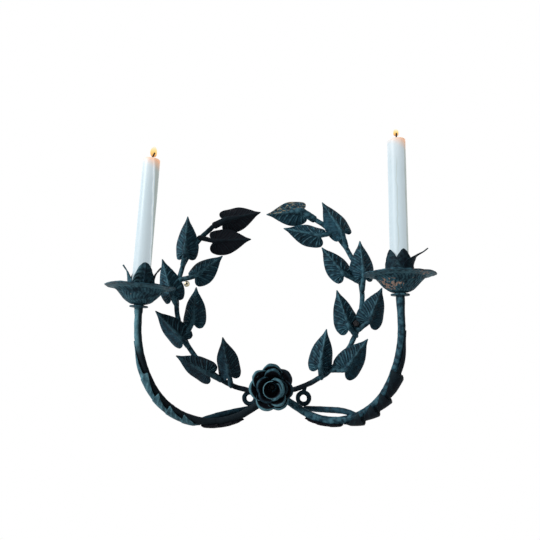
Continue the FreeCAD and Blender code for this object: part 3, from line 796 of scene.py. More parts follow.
@dataclass
class Leaf:
    """Heart-shaped leaf pressed from sheet, on a tail of the same sheet rolled up and welded to the stem.

    Attributes:
        name: CAD node that it stands for.
        station: Angle of the weld on the wreath, in degrees.
        tail: Length of the tail as seen from the front.
        tail_heading: Where the tail points, in degrees.
        heading: Where the blade points, in degrees.
        length: Length of the blade.
        lift: How much nearer the room the blade's base is than the weld.
        front: 1 for a weld on the front of the stem, 0 for one beside it.
        tail_radius: Radius of the tail.
        fold: How far each half is folded back, in degrees.
        curl: How much further the edges are folded, in degrees.
        arch: How far the tip hangs back.
        width: Width of the blade.
        vein_height: How high the veins stand.
        shade_amount: How much painted shade darkens it, 0 to 1.
        spots: How much of the paint is worn to copper, 0 to 1.
        spotted_side: The half that is worn, -1 or 1, or 0 for both.
        plain_side: The half with faint veins, -1 or 1, or 0 for neither.
        seed: Sets its unevenness apart from the other leaves'.
    """

    name: str
    station: float
    tail: float
    tail_heading: float
    heading: float
    length: float
    lift: float
    front: float
    tail_radius: float
    fold: float = 33
    curl: float = 8
    arch: float = 2.5
    width: float = 38.5
    vein_height: float = 1.5
    shade_amount: float = 0.0
    spots: float = 0.0
    spotted_side: float = 0.0
    plain_side: float = 0.0
    seed: float = 0.0

    OUTLINE = ((0.02, 0.0), (-0.08, 0.18), (-0.145, 0.44), (-0.12, 0.76), (0.01, 0.98), (0.18, 1.04),
               (0.36, 0.96), (0.53, 0.76), (0.70, 0.47), (0.85, 0.19), (1.0, 0.0))
    TAIL_TAPER = (1.12, 1.14, 1.08, 1.0, 0.86, 0.62, 0.42, 0.2)
    VEINS = 8

    def base(self) -> Vector:
        """Point where the tail runs into the blade."""
        turn = math.radians(self.tail_heading)
        return self.root() + Vector((self.tail * math.cos(turn), -self.lift, self.tail * math.sin(turn)))

    def root(self) -> Vector:
        """Point of the weld on the stem."""
        stand_off = self.front * (STEM_RADIUS + self.tail_radius - WELD_BITE)
        return on_wreath(self.station, -WREATH_DEPTH - stand_off)

    def frame(self) -> Matrix:
        """Frame of the blade: X towards its tip, Z towards the room."""
        h = math.radians(self.heading)
        return axes((math.cos(h), 0, math.sin(h)), (-math.sin(h), 0, math.cos(h)), (0, -1, 0), self.base())

    def press(self, flat: np.ndarray) -> np.ndarray:
        """Shape of the blade from the flat sheet.

        Args:
            flat: Points of the sheet, from -0.5 to 0.5 both ways.

        Returns:
            The points in the blade's frame.
        """
        share = 0.012 + (flat[:, 0] + 0.5) * 0.983
        across = flat[:, 1] * 2
        t = np.abs(across)
        rim = smooth_line(self.OUTLINE, 200)
        where = np.linspace(0, 1, len(rim))
        rim_u = np.interp(share, where, rim[:, 0])
        rim_v = np.interp(share, where, rim[:, 1]) * self.width / 2 / self.length
        rise = rim_u - 0.92 * rim_v
        mid_u = np.where(rise > 0.03, rise, 0.03 * np.exp(np.minimum(rise - 0.03, 0) * 6))
        gain = rim_u - mid_u
        lead_u = mid_u + np.where(gain > 0, 0.62 * gain, 0.05 * gain)
        lead_v = 0.33 * rim_v
        u = (1 - t) ** 2 * mid_u + 2 * (1 - t) * t * lead_u + t**2 * rim_u
        v = 2 * (1 - t) * t * lead_v + t**2 * rim_v
        u, v = u * self.length, v * self.length
        self.wear = self.spots * np.where(across * self.spotted_side < 0, 0.1, 1)
        self._veins(share, across, u, v)
        out, along = v / (self.width / 2), np.clip(u / self.length, 0, 1)
        fold = math.radians(self.fold) + math.radians(self.curl) * out**2
        fold = fold + math.radians(5) * wave(u / 14, self.seed) * out
        veins = self.lines * self.vein_height * (1 - 0.5 * u / self.length)
        midrib = (2.1 - 1.5 * along) * bump(v, 3.4 - 2.2 * along)
        droop = self.arch * (np.clip(u, 0, None) / self.length) ** 2
        y, z = np.sign(across) * v * np.cos(fold), midrib + veins - droop - v * np.sin(fold)
        return np.column_stack([u, y, z])

    def _veins(self, share: np.ndarray, across: np.ndarray, u: np.ndarray, v: np.ndarray) -> None:
        """Work out the embossed veins, which run with the sheet's own lines, and the traits of the paint: wear
        and painted highlight on ridges, veins and edges, painted shade in the vein valleys and over the whole
        leaf.

        Args:
            share: Place along the sheet, 0 to 1.
            across: Place across the sheet, -1 to 1.
            u: Distance along the flat blade.
            v: Distance from its midrib.
        """
        t = np.abs(across)
        phase = (share - 0.235) / 0.70 * self.VEINS
        nearest = np.abs(phase - np.round(phase))
        on_blade = (phase > -0.5) & (phase < self.VEINS - 0.5)
        fade = ease(t, 0.10, 0.30) * (1 - ease(t, 0.86, 1.0)) * on_blade
        fade = fade * np.where(across * self.plain_side > 0, 0.3, 1.0 + 0.2 * abs(self.plain_side))
        self.lines = (bump(nearest, 0.13) - 0.4 * bump(nearest - 0.26, 0.11)) * fade
        ridge = bump(v, 1.5) * (1 - 0.2 * u / self.length)
        edge = bump(1 - t, 0.05)
        # Lighter paint on the midrib, veins and edges: wear, and painted highlight.
        self.raised = np.clip(0.5 * bump(nearest, 0.09) * fade + 0.5 * ridge + 0.3 * edge, 0, 1)
        # Painted shade: the whole leaf by its shade amount, and the valleys beside the veins.
        self.painted_leaf_shade = np.clip(self.shade_amount + 0.6 * bump(nearest - 0.25, 0.10) * fade, 0, 1)

    def tail_path(self) -> tuple[np.ndarray, np.ndarray]:
        """Centre line of the rolled tail, from its stub on the stem to within the midrib, and its radii.

        Returns:
            The points of the line and the radius at each.
        """
        root, base, blade = self.root(), self.base(), self.frame()
        stub = root - (base - root).normalized() * (self.tail_radius + 0.8)
        midrib = ((0.13, 0.5), (0.34, 0.3), (0.6, -0.9))
        inside = [blade @ Vector((self.length * share, 0, height)) for share, height in midrib]
        line = smooth_line([stub, root, root.lerp(base, 0.55), base, *inside], 34)
        s = np.linspace(0, 1, len(line))
        rounded_end = np.sqrt(np.clip(1 - (1 - np.clip(s / 0.07, 0.12, 1)) ** 2, 0.05, 1))
        uneven = 1 + 0.04 * wave(s * 11, self.seed)
        return line, self.tail_radius * pick(self.TAIL_TAPER, s) * rounded_end * uneven

    def build(self, paint: bpy.types.Material) -> bpy.types.Object:
        """Press the blade, roll the tail and join them.

        Args:
            paint: Finish of the iron.

        Returns:
            The finished object.
        """
        blade = Piece.sheet(f"pressed_{self.name}", 96, 36)
        blade.form(self.press)
        blade.mark(Trait.RUB_AND_HIGHLIGHT, self.raised).mark(Trait.PAINTED_SHADE, self.painted_leaf_shade).mark(Trait.SPOTS, self.wear)
        blade.thicken(1.1).place(self.frame())
        line, radii = self.tail_path()
        tail = Piece.rod(f"{self.name}_tail", line, radii, 18)
        tail.mark(Trait.RUB_AND_HIGHLIGHT, 0.32).mark(Trait.PAINTED_SHADE, self.shade_amount).hammer(0.5, 3)
        return blade.join([tail]).finish(paint, "painted_iron", self.name)


@dataclass
class Stem:
    """Round rod of the wreath, bent to the circle, with the weld beads where leaves join it."""

    side: Side
    start: float
    end: float
    beads: Sequence[tuple[float, float]] = ()

    def build(self, paint: bpy.types.Material) -> bpy.types.Object:
        """Bend the rod and add its beads.

        Args:
            paint: Finish of the iron.

        Returns:
            The finished object.
        """
        angles = np.radians(np.linspace(self.start, self.end, 150))
        s = np.linspace(0, 1, len(angles))
        radius = WREATH_RADIUS + 0.5 * wave(s * 30, 1.0)
        path = np.column_stack([radius * np.cos(angles), np.full(len(s), -WREATH_DEPTH),
                                WREATH_HEIGHT + radius * np.sin(angles)])
        radii = STEM_RADIUS * (1 + 0.05 * wave(s * 60, 2.0))
        radii[[0, -1]] *= 0.55
        rod = Piece.rod(f"forged_{self.side.value}_stem", path, radii, 20)
        rod.hammer(0.35, 3)
        rod.join([self._bead(angle, size) for angle, size in self.beads])
        p = rod.points()
        turn = np.degrees(np.arctan2(p[:, 2] - WREATH_HEIGHT, np.abs(p[:, 0])))
        # Painted shade on the low ends of both stems and on the top of the left one.
        shade_amount = 0.9 * (1 - ease(turn, -66, -54))
        if self.side is Side.LEFT:
            shade_amount = shade_amount + 0.8 * ease(turn, 40, 50)
        rod.mark(Trait.RUB_AND_HIGHLIGHT, 0.3).mark(Trait.PAINTED_SHADE, shade_amount)
        return rod.finish(paint, "painted_iron", f"{self.side.value}_wreath_stem")

    def _bead(self, angle: float, size: float) -> Piece:
        """Lump of weld on the front of the rod.

        Args:
            angle: Where it sits on the wreath, in degrees.
            size: Its radius.

        Returns:
            The lump.
        """
        Piece.clear()
        centre = on_wreath(angle, -WREATH_DEPTH - STEM_RADIUS * 0.6)
        bpy.ops.mesh.primitive_ico_sphere_add(subdivisions=3, radius=size, location=centre)
        bpy.ops.object.transform_apply(location=True, rotation=False, scale=False)
        return Piece(bpy.context.object).hammer(size * 0.7, size * 1.2)


@dataclass
class Arm:
    """J-shaped rod from the boss to the cup, in its own upright plane.

    Attributes:
        side: Which half it is on.
        angle: Where its plane points, in degrees about Z.
        root_height: Height of its centre line at the boss.
        straight: Length of the straight run down from the boss.
        belly: Radius of the lower bend.
        riser: Length of the straight run up to the cup.
        stay_station: Where the stay meets the belly, in degrees from its lowest point.
        lean: How far the cup leans sideways, in degrees.
    """

    side: Side
    angle: float
    root_height: float
    straight: float
    belly: float
    riser: float
    stay_station: float
    lean: float

    def __post_init__(self) -> None:
        """Work out the centres of the two bends."""
        self.belly_x = self.straight * math.cos(ARM_DROP) + self.belly * math.sin(ARM_DROP)
        self.belly_z = self.root_height - self.straight * math.sin(ARM_DROP) + self.belly * math.cos(ARM_DROP)
        turn = math.pi / 2 - SHOULDER_TURN
        self.shoulder_x = self.belly_x + (self.belly - SHOULDER_RADIUS) * math.sin(turn)
        self.shoulder_z = self.belly_z - (self.belly - SHOULDER_RADIUS) * math.cos(turn)

    def point(self, along: float, height: float) -> Vector:
        """Point of the arm's plane in the sconce's own frame."""
        a = math.radians(self.angle)
        return Vector((BOSS_X + along * math.cos(a), -ARM_DEPTH + along * math.sin(a), height))

    def line(self) -> list[Vector]:
        """Centre line from the boss to the cup.

        Returns:
            The points of the line.
        """
        out, down = self.straight * math.cos(ARM_DROP), self.straight * math.sin(ARM_DROP)
        run = [self.point(out * t, self.root_height - down * t) for t in np.linspace(0.22, 1, 10)[:-1]]
        first, last = -math.degrees(ARM_DROP), 90 - math.degrees(SHOULDER_TURN)
        run += [self.on_belly(a) for a in np.linspace(first, last, 60)[:-1]]
        run += [self.on_shoulder(a) for a in np.linspace(0, 1, 34)[:-1]]
        top = self.shoulder_z + self.riser
        run += [self.point(self.shoulder_x + SHOULDER_RADIUS, h) for h in np.linspace(self.shoulder_z, top, 12)]
        return run

    def flat_belly(self, station: float) -> tuple[float, float]:
        """Point of the belly in the arm's plane, by its angle from the lowest point."""
        a = math.radians(station)
        return self.belly_x + self.belly * math.sin(a), self.belly_z - self.belly * math.cos(a)

    def flat_shoulder(self, share: float) -> tuple[float, float]:
        """Point of the shoulder in the arm's plane, by the share of its turn.

        Args:
            share: 0 where the shoulder starts, 1 where it ends.

        Returns:
            Distance out and height.
        """
        a = SHOULDER_TURN * (1 - share)
        out, down = SHOULDER_RADIUS * math.cos(a), SHOULDER_RADIUS * math.sin(a)
        return self.shoulder_x + out, self.shoulder_z - down

    def on_belly(self, station: float) -> Vector:
        """Point of the belly in the sconce's own frame."""
        return self.point(*self.flat_belly(station))

    def on_shoulder(self, share: float) -> Vector:
        """Point of the shoulder in the sconce's own frame."""
        return self.point(*self.flat_shoulder(share))

    def cup(self) -> Matrix:
        """Frame of the cup on the arm's end, leaned as one."""
        place = self.point(self.shoulder_x + SHOULDER_RADIUS, self.shoulder_z + self.riser)
        return Matrix.Translation(place) @ Matrix.Rotation(math.radians(self.lean), 4, "Y")

    def build(self, paint: bpy.types.Material) -> bpy.types.Object:
        """Bend the rod.

        Args:
            paint: Finish of the iron.

        Returns:
            The finished object.
        """
        left = self.side is Side.LEFT
        path = np.array(self.line(), float)
        s = np.linspace(0, 1, len(path))
        radii = ARM_RADIUS * (1 + 0.035 * wave(s * 70, 0.5 if left else 3.1))
        radii = radii * (1 + 0.15 * ease(s, 0.955, 0.975))
        rod = Piece.rod(f"forged_{self.side.value}_arm", path, radii, 24).hammer(0.4, 3)
        height = rod.points()[:, 2]
        # Painted shade on the side of the rod that faces right, away from the light, and on the left arm's low
        # run.
        painted_lee_shade = 0.85 * ease(rod.normals()[:, 0], 0.15, 0.6) * ease(height, 10, 40)
        low_painted_shade = 0.95 * (1 - ease(height, 52, 74)) if left else 0.0
        # The left arm is painted lighter all over, a painted highlight for the light that falls on it.
        rod.mark(Trait.RUB_AND_HIGHLIGHT, 0.85 if left else 0.25).mark(Trait.PAINTED_SHADE, np.maximum(low_painted_shade, painted_lee_shade))
        return rod.finish(paint, "painted_iron", f"{self.side.value}_arm")

    def build_stay(self, paint: bpy.types.Material) -> bpy.types.Object:
        """Make the stay, which runs from under the hanging eye to the belly.

        Args:
            paint: Finish of the iron.

        Returns:
            The finished object.
        """
        # Painted shade on the stays, more on the left one.
        bow, swell, shade_amount = (0.6, 0.3, 0.45) if self.side is Side.LEFT else (3.4, 0.16, 0.1)
        start = Vector((EYE_X[self.side], STAY_TOP_Y, STAY_TOP_Z - STEM_RADIUS + WELD_BITE))
        end = self.on_belly(self.stay_station)
        rises = ((0.4, bow * 0.6), (0.75, bow))
        bends = [start.lerp(end, share) + Vector((0, 0, rise)) for share, rise in rises]
        path = smooth_line([start, *bends, end], 40)
        s = np.linspace(0, 1, len(path))
        radii = STEM_RADIUS * (1 + swell * np.sin(np.pi * s) + 0.04 * wave(s * 20, 1.7))
        radii[0] *= 0.6
        rod = Piece.rod(f"forged_{self.side.value}_stay", path, radii, 18).hammer(0.35, 3)
        rod.mark(Trait.PAINTED_SHADE, shade_amount)
        return rod.finish(paint, "painted_iron", f"{self.side.value}_stay")


@dataclass
class Cup:
    """Collar, drip pan and four-petal calyx on one leaned axis, with the candle they hold.

    Attributes:
        arm: The arm that it stands on.
        candle_length: Length of its candle.
        copper: How much of the pan's paint is worn to copper, 0 to 1.
        worn_at: Where it is worn most, in degrees about the cup's axis.
    """

    arm: Arm
    candle_length: float
    copper: float
    worn_at: float

    PAN = ((3.2, 4.1), (7.5, 4.3), (12.0, 5.6), (16.2, 8.3), (20.2, 12.1), (23.8, 16.2), (27.2, 19.9),
           (30.8, 22.6), (35.0, 24.0), (39.0, 24.8), (42.3, 25.4))
    COLLAR = ((2.2, 3.4), (6.2, 3.4), (6.3, 2.2), (10.6, 2.0), (11.2, 1.5), (11.25, 0.8), (10.8, 0.2),
              (4.4, 0.0), (2.2, 0.0), (2.2, 3.4))
    STROKE_RINGS = ((10, 17.5, 26, 1.1), (17, 25, 34, -1.0), (24.5, 31, 44, 0.9))

    def name(self, thing: str) -> str:
        """Name of one of this side's CAD nodes."""
        return f"{self.arm.side.value}_{thing}"

    def build_pan(self, paint: bpy.types.Material) -> bpy.types.Object:
        """Spin the pan, chase its underside and bend its rim a little out of true.

        Args:
            paint: Finish of the iron.

        Returns:
            The finished object.
        """
        outline = smooth_line(self.PAN, 56)
        pan = Piece.turned(f"chased_{self.name('pan')}", outline, 288)
        pan.form(self._chase)
        pan.mark(Trait.RUB_AND_HIGHLIGHT, self.raised).mark(Trait.SPOTS, self.spots)
        pan.thicken(1.2).hammer(0.8, 5).place(self.arm.cup())
        return pan.finish(paint, "worn_iron", self.name("drip_pan"))

    def _chase(self, p: np.ndarray) -> np.ndarray:
        """Cut short curved strokes in rings and leave the rim slightly uneven.

        Args:
            p: Points of the pan in the cup's frame.

        Returns:
            The points where they end up.
        """
        r = np.hypot(p[:, 0], p[:, 1])
        a = np.arctan2(p[:, 1], p[:, 0])
        out = p.copy()
        strokes = np.zeros(len(p))
        for ring, (low, high, count, slant) in enumerate(self.STROKE_RINGS):
            band = ease(r, low, low + 1.2) * (1 - ease(r, high - 1.2, high))
            across = np.clip((r - low) / (high - low), 0, 1)
            phase = a * count / (2 * math.pi) + slant * across**1.5 + ring * 0.37
            force = 0.65 + 0.35 * wave(np.round(phase) * 1.7, ring)
            strokes = np.maximum(strokes, band * force * bump(np.abs(phase - np.round(phase)), 0.17))
        depth = 0.8 * strokes
        out[:, 2] += depth
        out[:, :2] *= (1 - depth / np.maximum(r, 5))[:, None]
        out[:, 2] += ease(r, 28, 42) * (0.7 * wave(a * 2, 0.4) + 0.35 * wave(a * 7, 1.9))
        out[:, :2] *= (1 + ease(r, 30, 42) * 0.012 * wave(a * 3, 2.2))[:, None]
        rim = ease(r, 40.6, 42)
        self.raised = np.clip(0.36 + 0.2 * bump(r - 31.5, 1.6) - 0.9 * strokes - 0.1 * rim, 0, 1)
        off = (np.degrees(a) - self.worn_at + 180) % 360 - 180
        belly = 1.2 * bump(r - 19, 8) * (0.25 + 0.75 * bump(off, 46))
        brow = 0.75 * bump(r - 36, 6) * bump(off - 90, 35)
        self.spots = np.clip(self.copper * (0.1 + belly + brow + 0.35 * rim), 0, 1.1)
        return out

    def build_collar(self, paint: bpy.types.Material) -> bpy.types.Object:
        """Washer that the pan stands on, with a rounded edge.

        Args:
            paint: Finish of the iron.

        Returns:
            The finished object.
        """
        collar = Piece.turned(f"forged_{self.name('collar')}", self.COLLAR, 72)
        collar.weld(0.01).hammer(0.3, 3).mark(Trait.RUB_AND_HIGHLIGHT, 0.35).place(self.arm.cup())
        return collar.finish(paint, "worn_iron", self.name("collar"), crease=35)


@dataclass
class Petal:
    """Petal pressed from sheet: a profile swung part of the way round an axis, with a rounded rim.

    Attributes:
        profile: Radius and height along its middle, from the foot to the rim.
        widths: Half widths at even steps from the foot to the rim.
        angle: Where it stands, in degrees about the axis.
        drop: How much lower its sides are than its middle, as a share of its height.
        flat: How much flatter across it is at the rim than at the foot.
        edge_curl: How far its edges are bent outwards.
        veins: How high its veins stand.
        shade_amount: How much painted shade darkens it, 0 to 1.
        scallop: How far the corners of its rim come in.
        lip: How much lighter its rim is painted, 0 to 1: worn paint, and a painted highlight.
        seed: Sets its unevenness apart from the other petals'.
        roundness: Power by which the drop grows towards its sides.
        sheet: Thickness of the sheet.
    """

    profile: Sequence[tuple[float, float]]
    widths: Sequence[float]
    angle: float
    drop: float = 0.3
    flat: float = 0.2
    edge_curl: float = 0.0
    veins: float = 0.0
    shade_amount: float = 0.0
    scallop: float = 0.0
    lip: float = 0.15
    seed: float = 0.0
    roundness: float = 2.0
    sheet: float = 0.9

    def press(self, flat: np.ndarray) -> np.ndarray:
        """Shape of the petal from the flat sheet.

        Args:
            flat: Points of the sheet, from -0.5 to 0.5 both ways.

        Returns:
            The points in the flower's frame.
        """
        u, v = flat[:, 0] + 0.5, flat[:, 1] * 2
        t = np.abs(v)
        line = smooth_line(self.profile, 90)
        r, z = pick(line[:, 0], u), pick(line[:, 1], u)
        side_drop = self.drop * t**self.roundness
        z = line[0, 1] + (z - line[0, 1]) * (1 - side_drop * (1 - 0.25 * (v > 0)))
        wide = pick(self.widths, u) * (1 + 0.05 * wave(u * 5, self.seed))
        bow = np.maximum(r, 4) * (1 + self.flat * u)
        turn = wide * v / bow
        phase = (u - 0.42 * t) * 9
        blade = ease(t, 0.08, 0.25) * (1 - ease(t, 0.85, 1)) * ease(u, 0.15, 0.3)
        ribs = bump(np.abs(phase - np.round(phase)), 0.15) * blade
        relief = self.veins * (ribs + 0.8 * bump(v, 0.07))
        out = r - bow * (1 - np.cos(turn)) + self.edge_curl * ease(t, 0.55, 1) * u + relief
        out = out + 0.35 * wave(v * 3 + u * 4, self.seed) * ease(u, 0.2, 0.6) - self.scallop * t**2.6 * u**2
        side = bow * np.sin(turn)
        self.raised = np.clip(0.15 + 0.55 * ribs * self.veins + self.lip * ease(u, 0.66, 0.95), 0, 1)
        a = math.radians(self.angle)
        x, y = out * math.cos(a) - side * math.sin(a), out * math.sin(a) + side * math.cos(a)
        return np.column_stack([x, y, z])

    def build(self, name: str) -> Piece:
        """Press the petal and give it its thickness."""
        piece = Piece.sheet(name, 56, 30).form(self.press)
        return piece.mark(Trait.RUB_AND_HIGHLIGHT, self.raised).mark(Trait.PAINTED_SHADE, self.shade_amount).thicken(self.sheet)


@dataclass
class Calyx:
    """Cup of four petals that hides the candle's socket."""

    petals: Sequence[Petal]

    BASE = ((2.2, 5.3), (7, 6.4), (10.6, 10.2), (12.9, 15.5), (13.6, 21), (13.9, 27))

    def build(self, cup: Cup, paint: bpy.types.Material) -> bpy.types.Object:
        """Press the petals round their common cup and set them in the drip pan.

        Args:
            cup: The cup that it stands in.
            paint: Finish of the iron.

        Returns:
            The finished object.
        """
        base = Piece.turned(f"pressed_{cup.name('calyx')}", smooth_line(self.BASE, 30), 64)
        base.thicken(0.9).mark(Trait.RUB_AND_HIGHLIGHT, 0.15)
        base.join([petal.build(f"petal_{index}") for index, petal in enumerate(self.petals)])
        base.place(cup.arm.cup())
        return base.finish(paint, "worn_iron", cup.name("calyx"))


@dataclass
class Candle:
    """Dinner candle with a run of wax down its side, its wick and its flame.

    Attributes:
        cup: The cup that it stands in.
        flame: Radius and height above the candle's top along the flame's outline.
        run_top: Where the run of wax starts, in degrees about the axis.
        run_foot: Where it ends.
        wick_lean: How far the wick's end leans sideways.
        run_height: How high the run stands.
        high_side: How much higher the top is at the right than in the middle.
        flame_lean: How far the flame bends sideways.
        scratch: How dark the long mark in the wax is, 0 to 1.
    """

    cup: Cup
    flame: Line
    run_top: float
    run_foot: float
    wick_lean: float
    run_height: float = 0.7
    high_side: float = 0.0
    flame_lean: float = 0.0
    scratch: float = 0.0

    @property
    def side(self) -> str:
        """Name of the candle's side."""
        return self.cup.arm.side.value

    @property
    def body(self) -> str:
        """Name of the body that the candle rides on."""
        return f"{self.side}_candle_body"

    @property
    def top(self) -> float:
        """Height of the candle's top in the cup's frame."""
        return CANDLE_FOOT + self.cup.candle_length

    @property
    def flame_foot(self) -> float:
        """Height of the flame's foot in the sconce's own frame."""
        return (self.cup.arm.cup() @ Vector((0, 0, self.top + self.flame[0][1]))).z

    @property
    def flame_height(self) -> float:
        """Height of the flame from its foot to its tip."""
        return self.flame[-1][1] - self.flame[0][1]

    def build(self, wick_paint: bpy.types.Material, flame_paint: bpy.types.Material) -> None:
        """Dip the candle and light it.

        Args:
            wick_paint: Finish of the wick.
            flame_paint: Finish of the flame.
        """
        top, r, place = self.top, CANDLE_RADIUS, self.cup.arm.cup()
        end = ((0.3, 0), (6, 0), (r - 0.6, 0.1), (r, 0.8))
        outline = [(out, CANDLE_FOOT + up) for out, up in end]
        outline += [(r, height) for height in np.linspace(CANDLE_FOOT + 3, top - 2.2, 92)]
        well = ((r, 1.4), (r - 0.15, 0.6), (r - 0.7, 0.1), (r - 1.6, 0), (r - 2.6, 0.4), (r - 4, 1.3),
                (r - 6, 2.0), (r - 8, 2.3), (0.8, 2.4), (0.3, 2.4))
        outline += [(out, top - down) for out, down in well]
        candle = Piece.turned(f"dipped_{self.side}_candle", outline, 96).close().form(self._run_wax)
        candle.mark(Trait.PAINTED_SHADE, self.shade).mark(Trait.RUB_AND_HIGHLIGHT, self.ridge).place(place)
        foot, tip = place @ Vector((0, 0, CANDLE_FOOT)), place @ Vector((0, 0, top))
        rise = tip - foot
        wax = Wax(f"{self.side}_candle_wax", foot * MM, rise.normalized(), rise.length * MM)
        candle.finish(wax.build(), "candle_wax", f"{self.side}_candle", body=self.body)
        s = np.linspace(0, 1, 16)
        path = np.column_stack([self.wick_lean * s**2, -0.8 * s, top - 2.9 + 12.4 * s])
        wick = Piece.rod(f"braided_{self.side}_wick", path, 1 + 0.12 * wave(s * 25, 1.0), 10)
        wick.place(place).finish(wick_paint, "candle_wick", f"{self.side}_wick", body=self.body)
        outline = [(out, top + up) for out, up in smooth_line(self.flame, 40)]
        flame = Piece.turned(f"{self.side}_flame", outline, 40).close().form(self._blow).place(place)
        flame.finish(flame_paint, "candle_wick", body=self.body)

    def _blow(self, p: np.ndarray) -> np.ndarray:
        """Flatten the flame, move it over the wick's end and bend it sideways towards its tip.

        Args:
            p: Its points in the cup's frame.

        Returns:
            The points where they end up.
        """
        share = (p[:, 2] - self.top - self.flame[0][1]) / self.flame_height
        x = p[:, 0] + self.flame_lean * np.sin(share * 3.0) + self.wick_lean * 0.55
        return np.column_stack([x, p[:, 1] * 0.38 + 1.2, p[:, 2]])

    def _run_wax(self, p: np.ndarray) -> np.ndarray:
        """Raise the run of wax, dent the sides a little and lift one side of the top, and mark the painted
        highlight on the run and the painted shade beside it.

        Args:
            p: Points of the candle in the cup's frame.

        Returns:
            The points where they end up.
        """
        a = np.degrees(np.arctan2(p[:, 1], p[:, 0]))
        r = np.hypot(p[:, 0], p[:, 1])
        share = np.clip((p[:, 2] - CANDLE_FOOT) / self.cup.candle_length, 0, 1)
        where = self.run_foot + (self.run_top - self.run_foot) * share**1.2 + 2.5 * wave(share * 16, 0.8)
        off = a - where
        skin = ease(r, CANDLE_RADIUS * 0.9, CANDLE_RADIUS)
        run = bump(off, 4.6 + 2 * wave(share * 40, 2.0)) * ease(self.run_height, 0, 0.1)
        # The run's mask also carries its painted highlight.
        self.ridge = np.clip(run * skin, 0, 1)
        # Painted shade in a band beside the run.
        painted_lee_shade = ease(off, 4, 16) * (1 - ease(off, 120, 150))
        reach = ease(share, 0.1, 0.3) * (1 - ease(share, 0.8, 0.9))
        scratch = bump(a + 106 - 5 * wave(share * 24, 0.3), 3) * reach
        # Painted shade beside the run, plus the scratch, a real mark in the wax.
        self.shade = np.clip((painted_lee_shade + self.scratch * scratch) * skin, 0, 1)
        grow = 1 + self.run_height * (self.ridge - 0.5 * self.shade) / CANDLE_RADIUS
        grow = grow + 0.006 * wave(share * 9 + a / 60, 1.3) * skin
        out = p.copy()
        out[:, :2] *= grow[:, None]
        out[:, 2] += self.high_side * (p[:, 0] / CANDLE_RADIUS) * ease(share, 0.95, 1)
        out[:, 2] += 0.35 * wave(np.radians(a) * 2, 0.5) * ease(share, 0.97, 1) * skin
        return out


@dataclass
class Sheath:
    """Serrated acanthus leaf wrapped round the outside of an arm's curve.

    Attributes:
        name: CAD node that it stands for.
        arm: The arm that it wraps.
        line: Its middle in the arm's plane, from its foot to its tip.
        lobes: Number of lobes on each side.
        flare: How far a lobe's tip stands off.
        tip_lift: How far the leaf's own tip stands off the rod.
        bulge: How much further its middle stands off the rod.
        wrap: How far it reaches round the rod on each side, in degrees.
        crest: How much of a lobe's flare is left at the middle, 0 to 1.
        shade_amount: How much painted shade darkens it, 0 to 1.
        seed: Not used.
        stagger: Shift of one side's lobes against the other's.
        sheet: Thickness of the sheet.
    """

    name: str
    arm: Arm
    line: np.ndarray
    lobes: int
    flare: float
    tip_lift: float
    bulge: float
    wrap: float
    crest: float
    shade_amount: float
    seed: float
    stagger: float = 0.3
    sheet: float = 0.9

    def press(self, flat: np.ndarray) -> np.ndarray:
        """Shape of the leaf from the flat sheet: lobe by lobe, each one lifting off the rod at its tip.

        Args:
            flat: Points of the sheet, from -0.5 to 0.5 both ways.

        Returns:
            The points in the sconce's own frame.
        """
        u, v = flat[:, 0] + 0.5, flat[:, 1] * 2
        t = np.abs(v)
        place = np.column_stack([pick(column, u) for column in self.line.T])
        run = np.gradient(self.line, axis=0)
        run /= np.linalg.norm(run, axis=1)[:, None]
        along = np.column_stack([pick(column, u) for column in run.T])
        towards_cup = 1 if self.line[-1, 0] > self.line[0, 0] else -1
        outward = np.column_stack([along[:, 1], -along[:, 0]]) * towards_cup
        phase = (u * self.lobes + self.stagger * (v > 0) - 0.10 * t) % 1.0
        tooth = phase**1.7 * (1 - ease(phase, 0.93, 1.0)) * ease(u, 0.02, 0.07)
        taper = (0.35 + 0.65 * ease(u, 0, 0.12)) * (1 - 0.97 * np.clip((u - 0.80) / 0.20, 0, 1) ** 1.3)
        wrap = math.radians(self.wrap) * (0.58 + 0.42 * tooth) * taper * v
        rib = bump(v, 0.10)
        strokes = bump(np.abs((u * self.lobes * 3 - 1.1 * t) % 1.0 - 0.5), 0.16) * ease(t, 0.1, 0.3)
        lift = 1.2 + self.bulge * np.sin(np.pi * np.clip(u * 0.95 + 0.02, 0, 1)) ** 0.7
        lift = lift + self.flare * tooth * (self.crest + (1 - self.crest) * t**2) + 0.5 * rib + 0.35 * strokes
        lift = lift * (0.2 + 0.8 * ease(u, 0, 0.08)) * (1 - 0.9 * ease(u, 0.84, 0.97))
        lift = lift + self.tip_lift * ease(u, 0.84, 1.0) * (1 - 0.3 * t)
        reach = ARM_RADIUS + lift
        hook = self.flare * tooth**2 * (1 - ease(u, 0.84, 0.95))
        out = place + outward * (reach * np.cos(wrap))[:, None] + along * hook[:, None]
        aside = reach * np.sin(wrap)
        tips = ease(tooth, 0.55, 0.9) * ease(t, 0.6, 1)
        self.raised = np.clip(0.42 - 0.3 * self.shade_amount + 0.45 * strokes + 0.5 * rib + 0.7 * tips, 0, 1)
        a = math.radians(self.arm.angle)
        x = BOSS_X + out[:, 0] * math.cos(a) + aside * math.sin(a)
        y = -ARM_DEPTH + out[:, 0] * math.sin(a) - aside * math.cos(a)
        return np.column_stack([x, y, out[:, 1]])

    def build(self, paint: bpy.types.Material) -> bpy.types.Object:
        """Cut, emboss and wrap the leaf.

        Args:
            paint: Finish of the iron.

        Returns:
            The finished object.
        """
        piece = Piece.sheet(f"wrapped_{self.name}", 220, 32).form(self.press)
        piece.mark(Trait.RUB_AND_HIGHLIGHT, self.raised).mark(Trait.PAINTED_SHADE, self.shade_amount).thicken(self.sheet)
        return piece.finish(paint, "painted_iron", self.name)


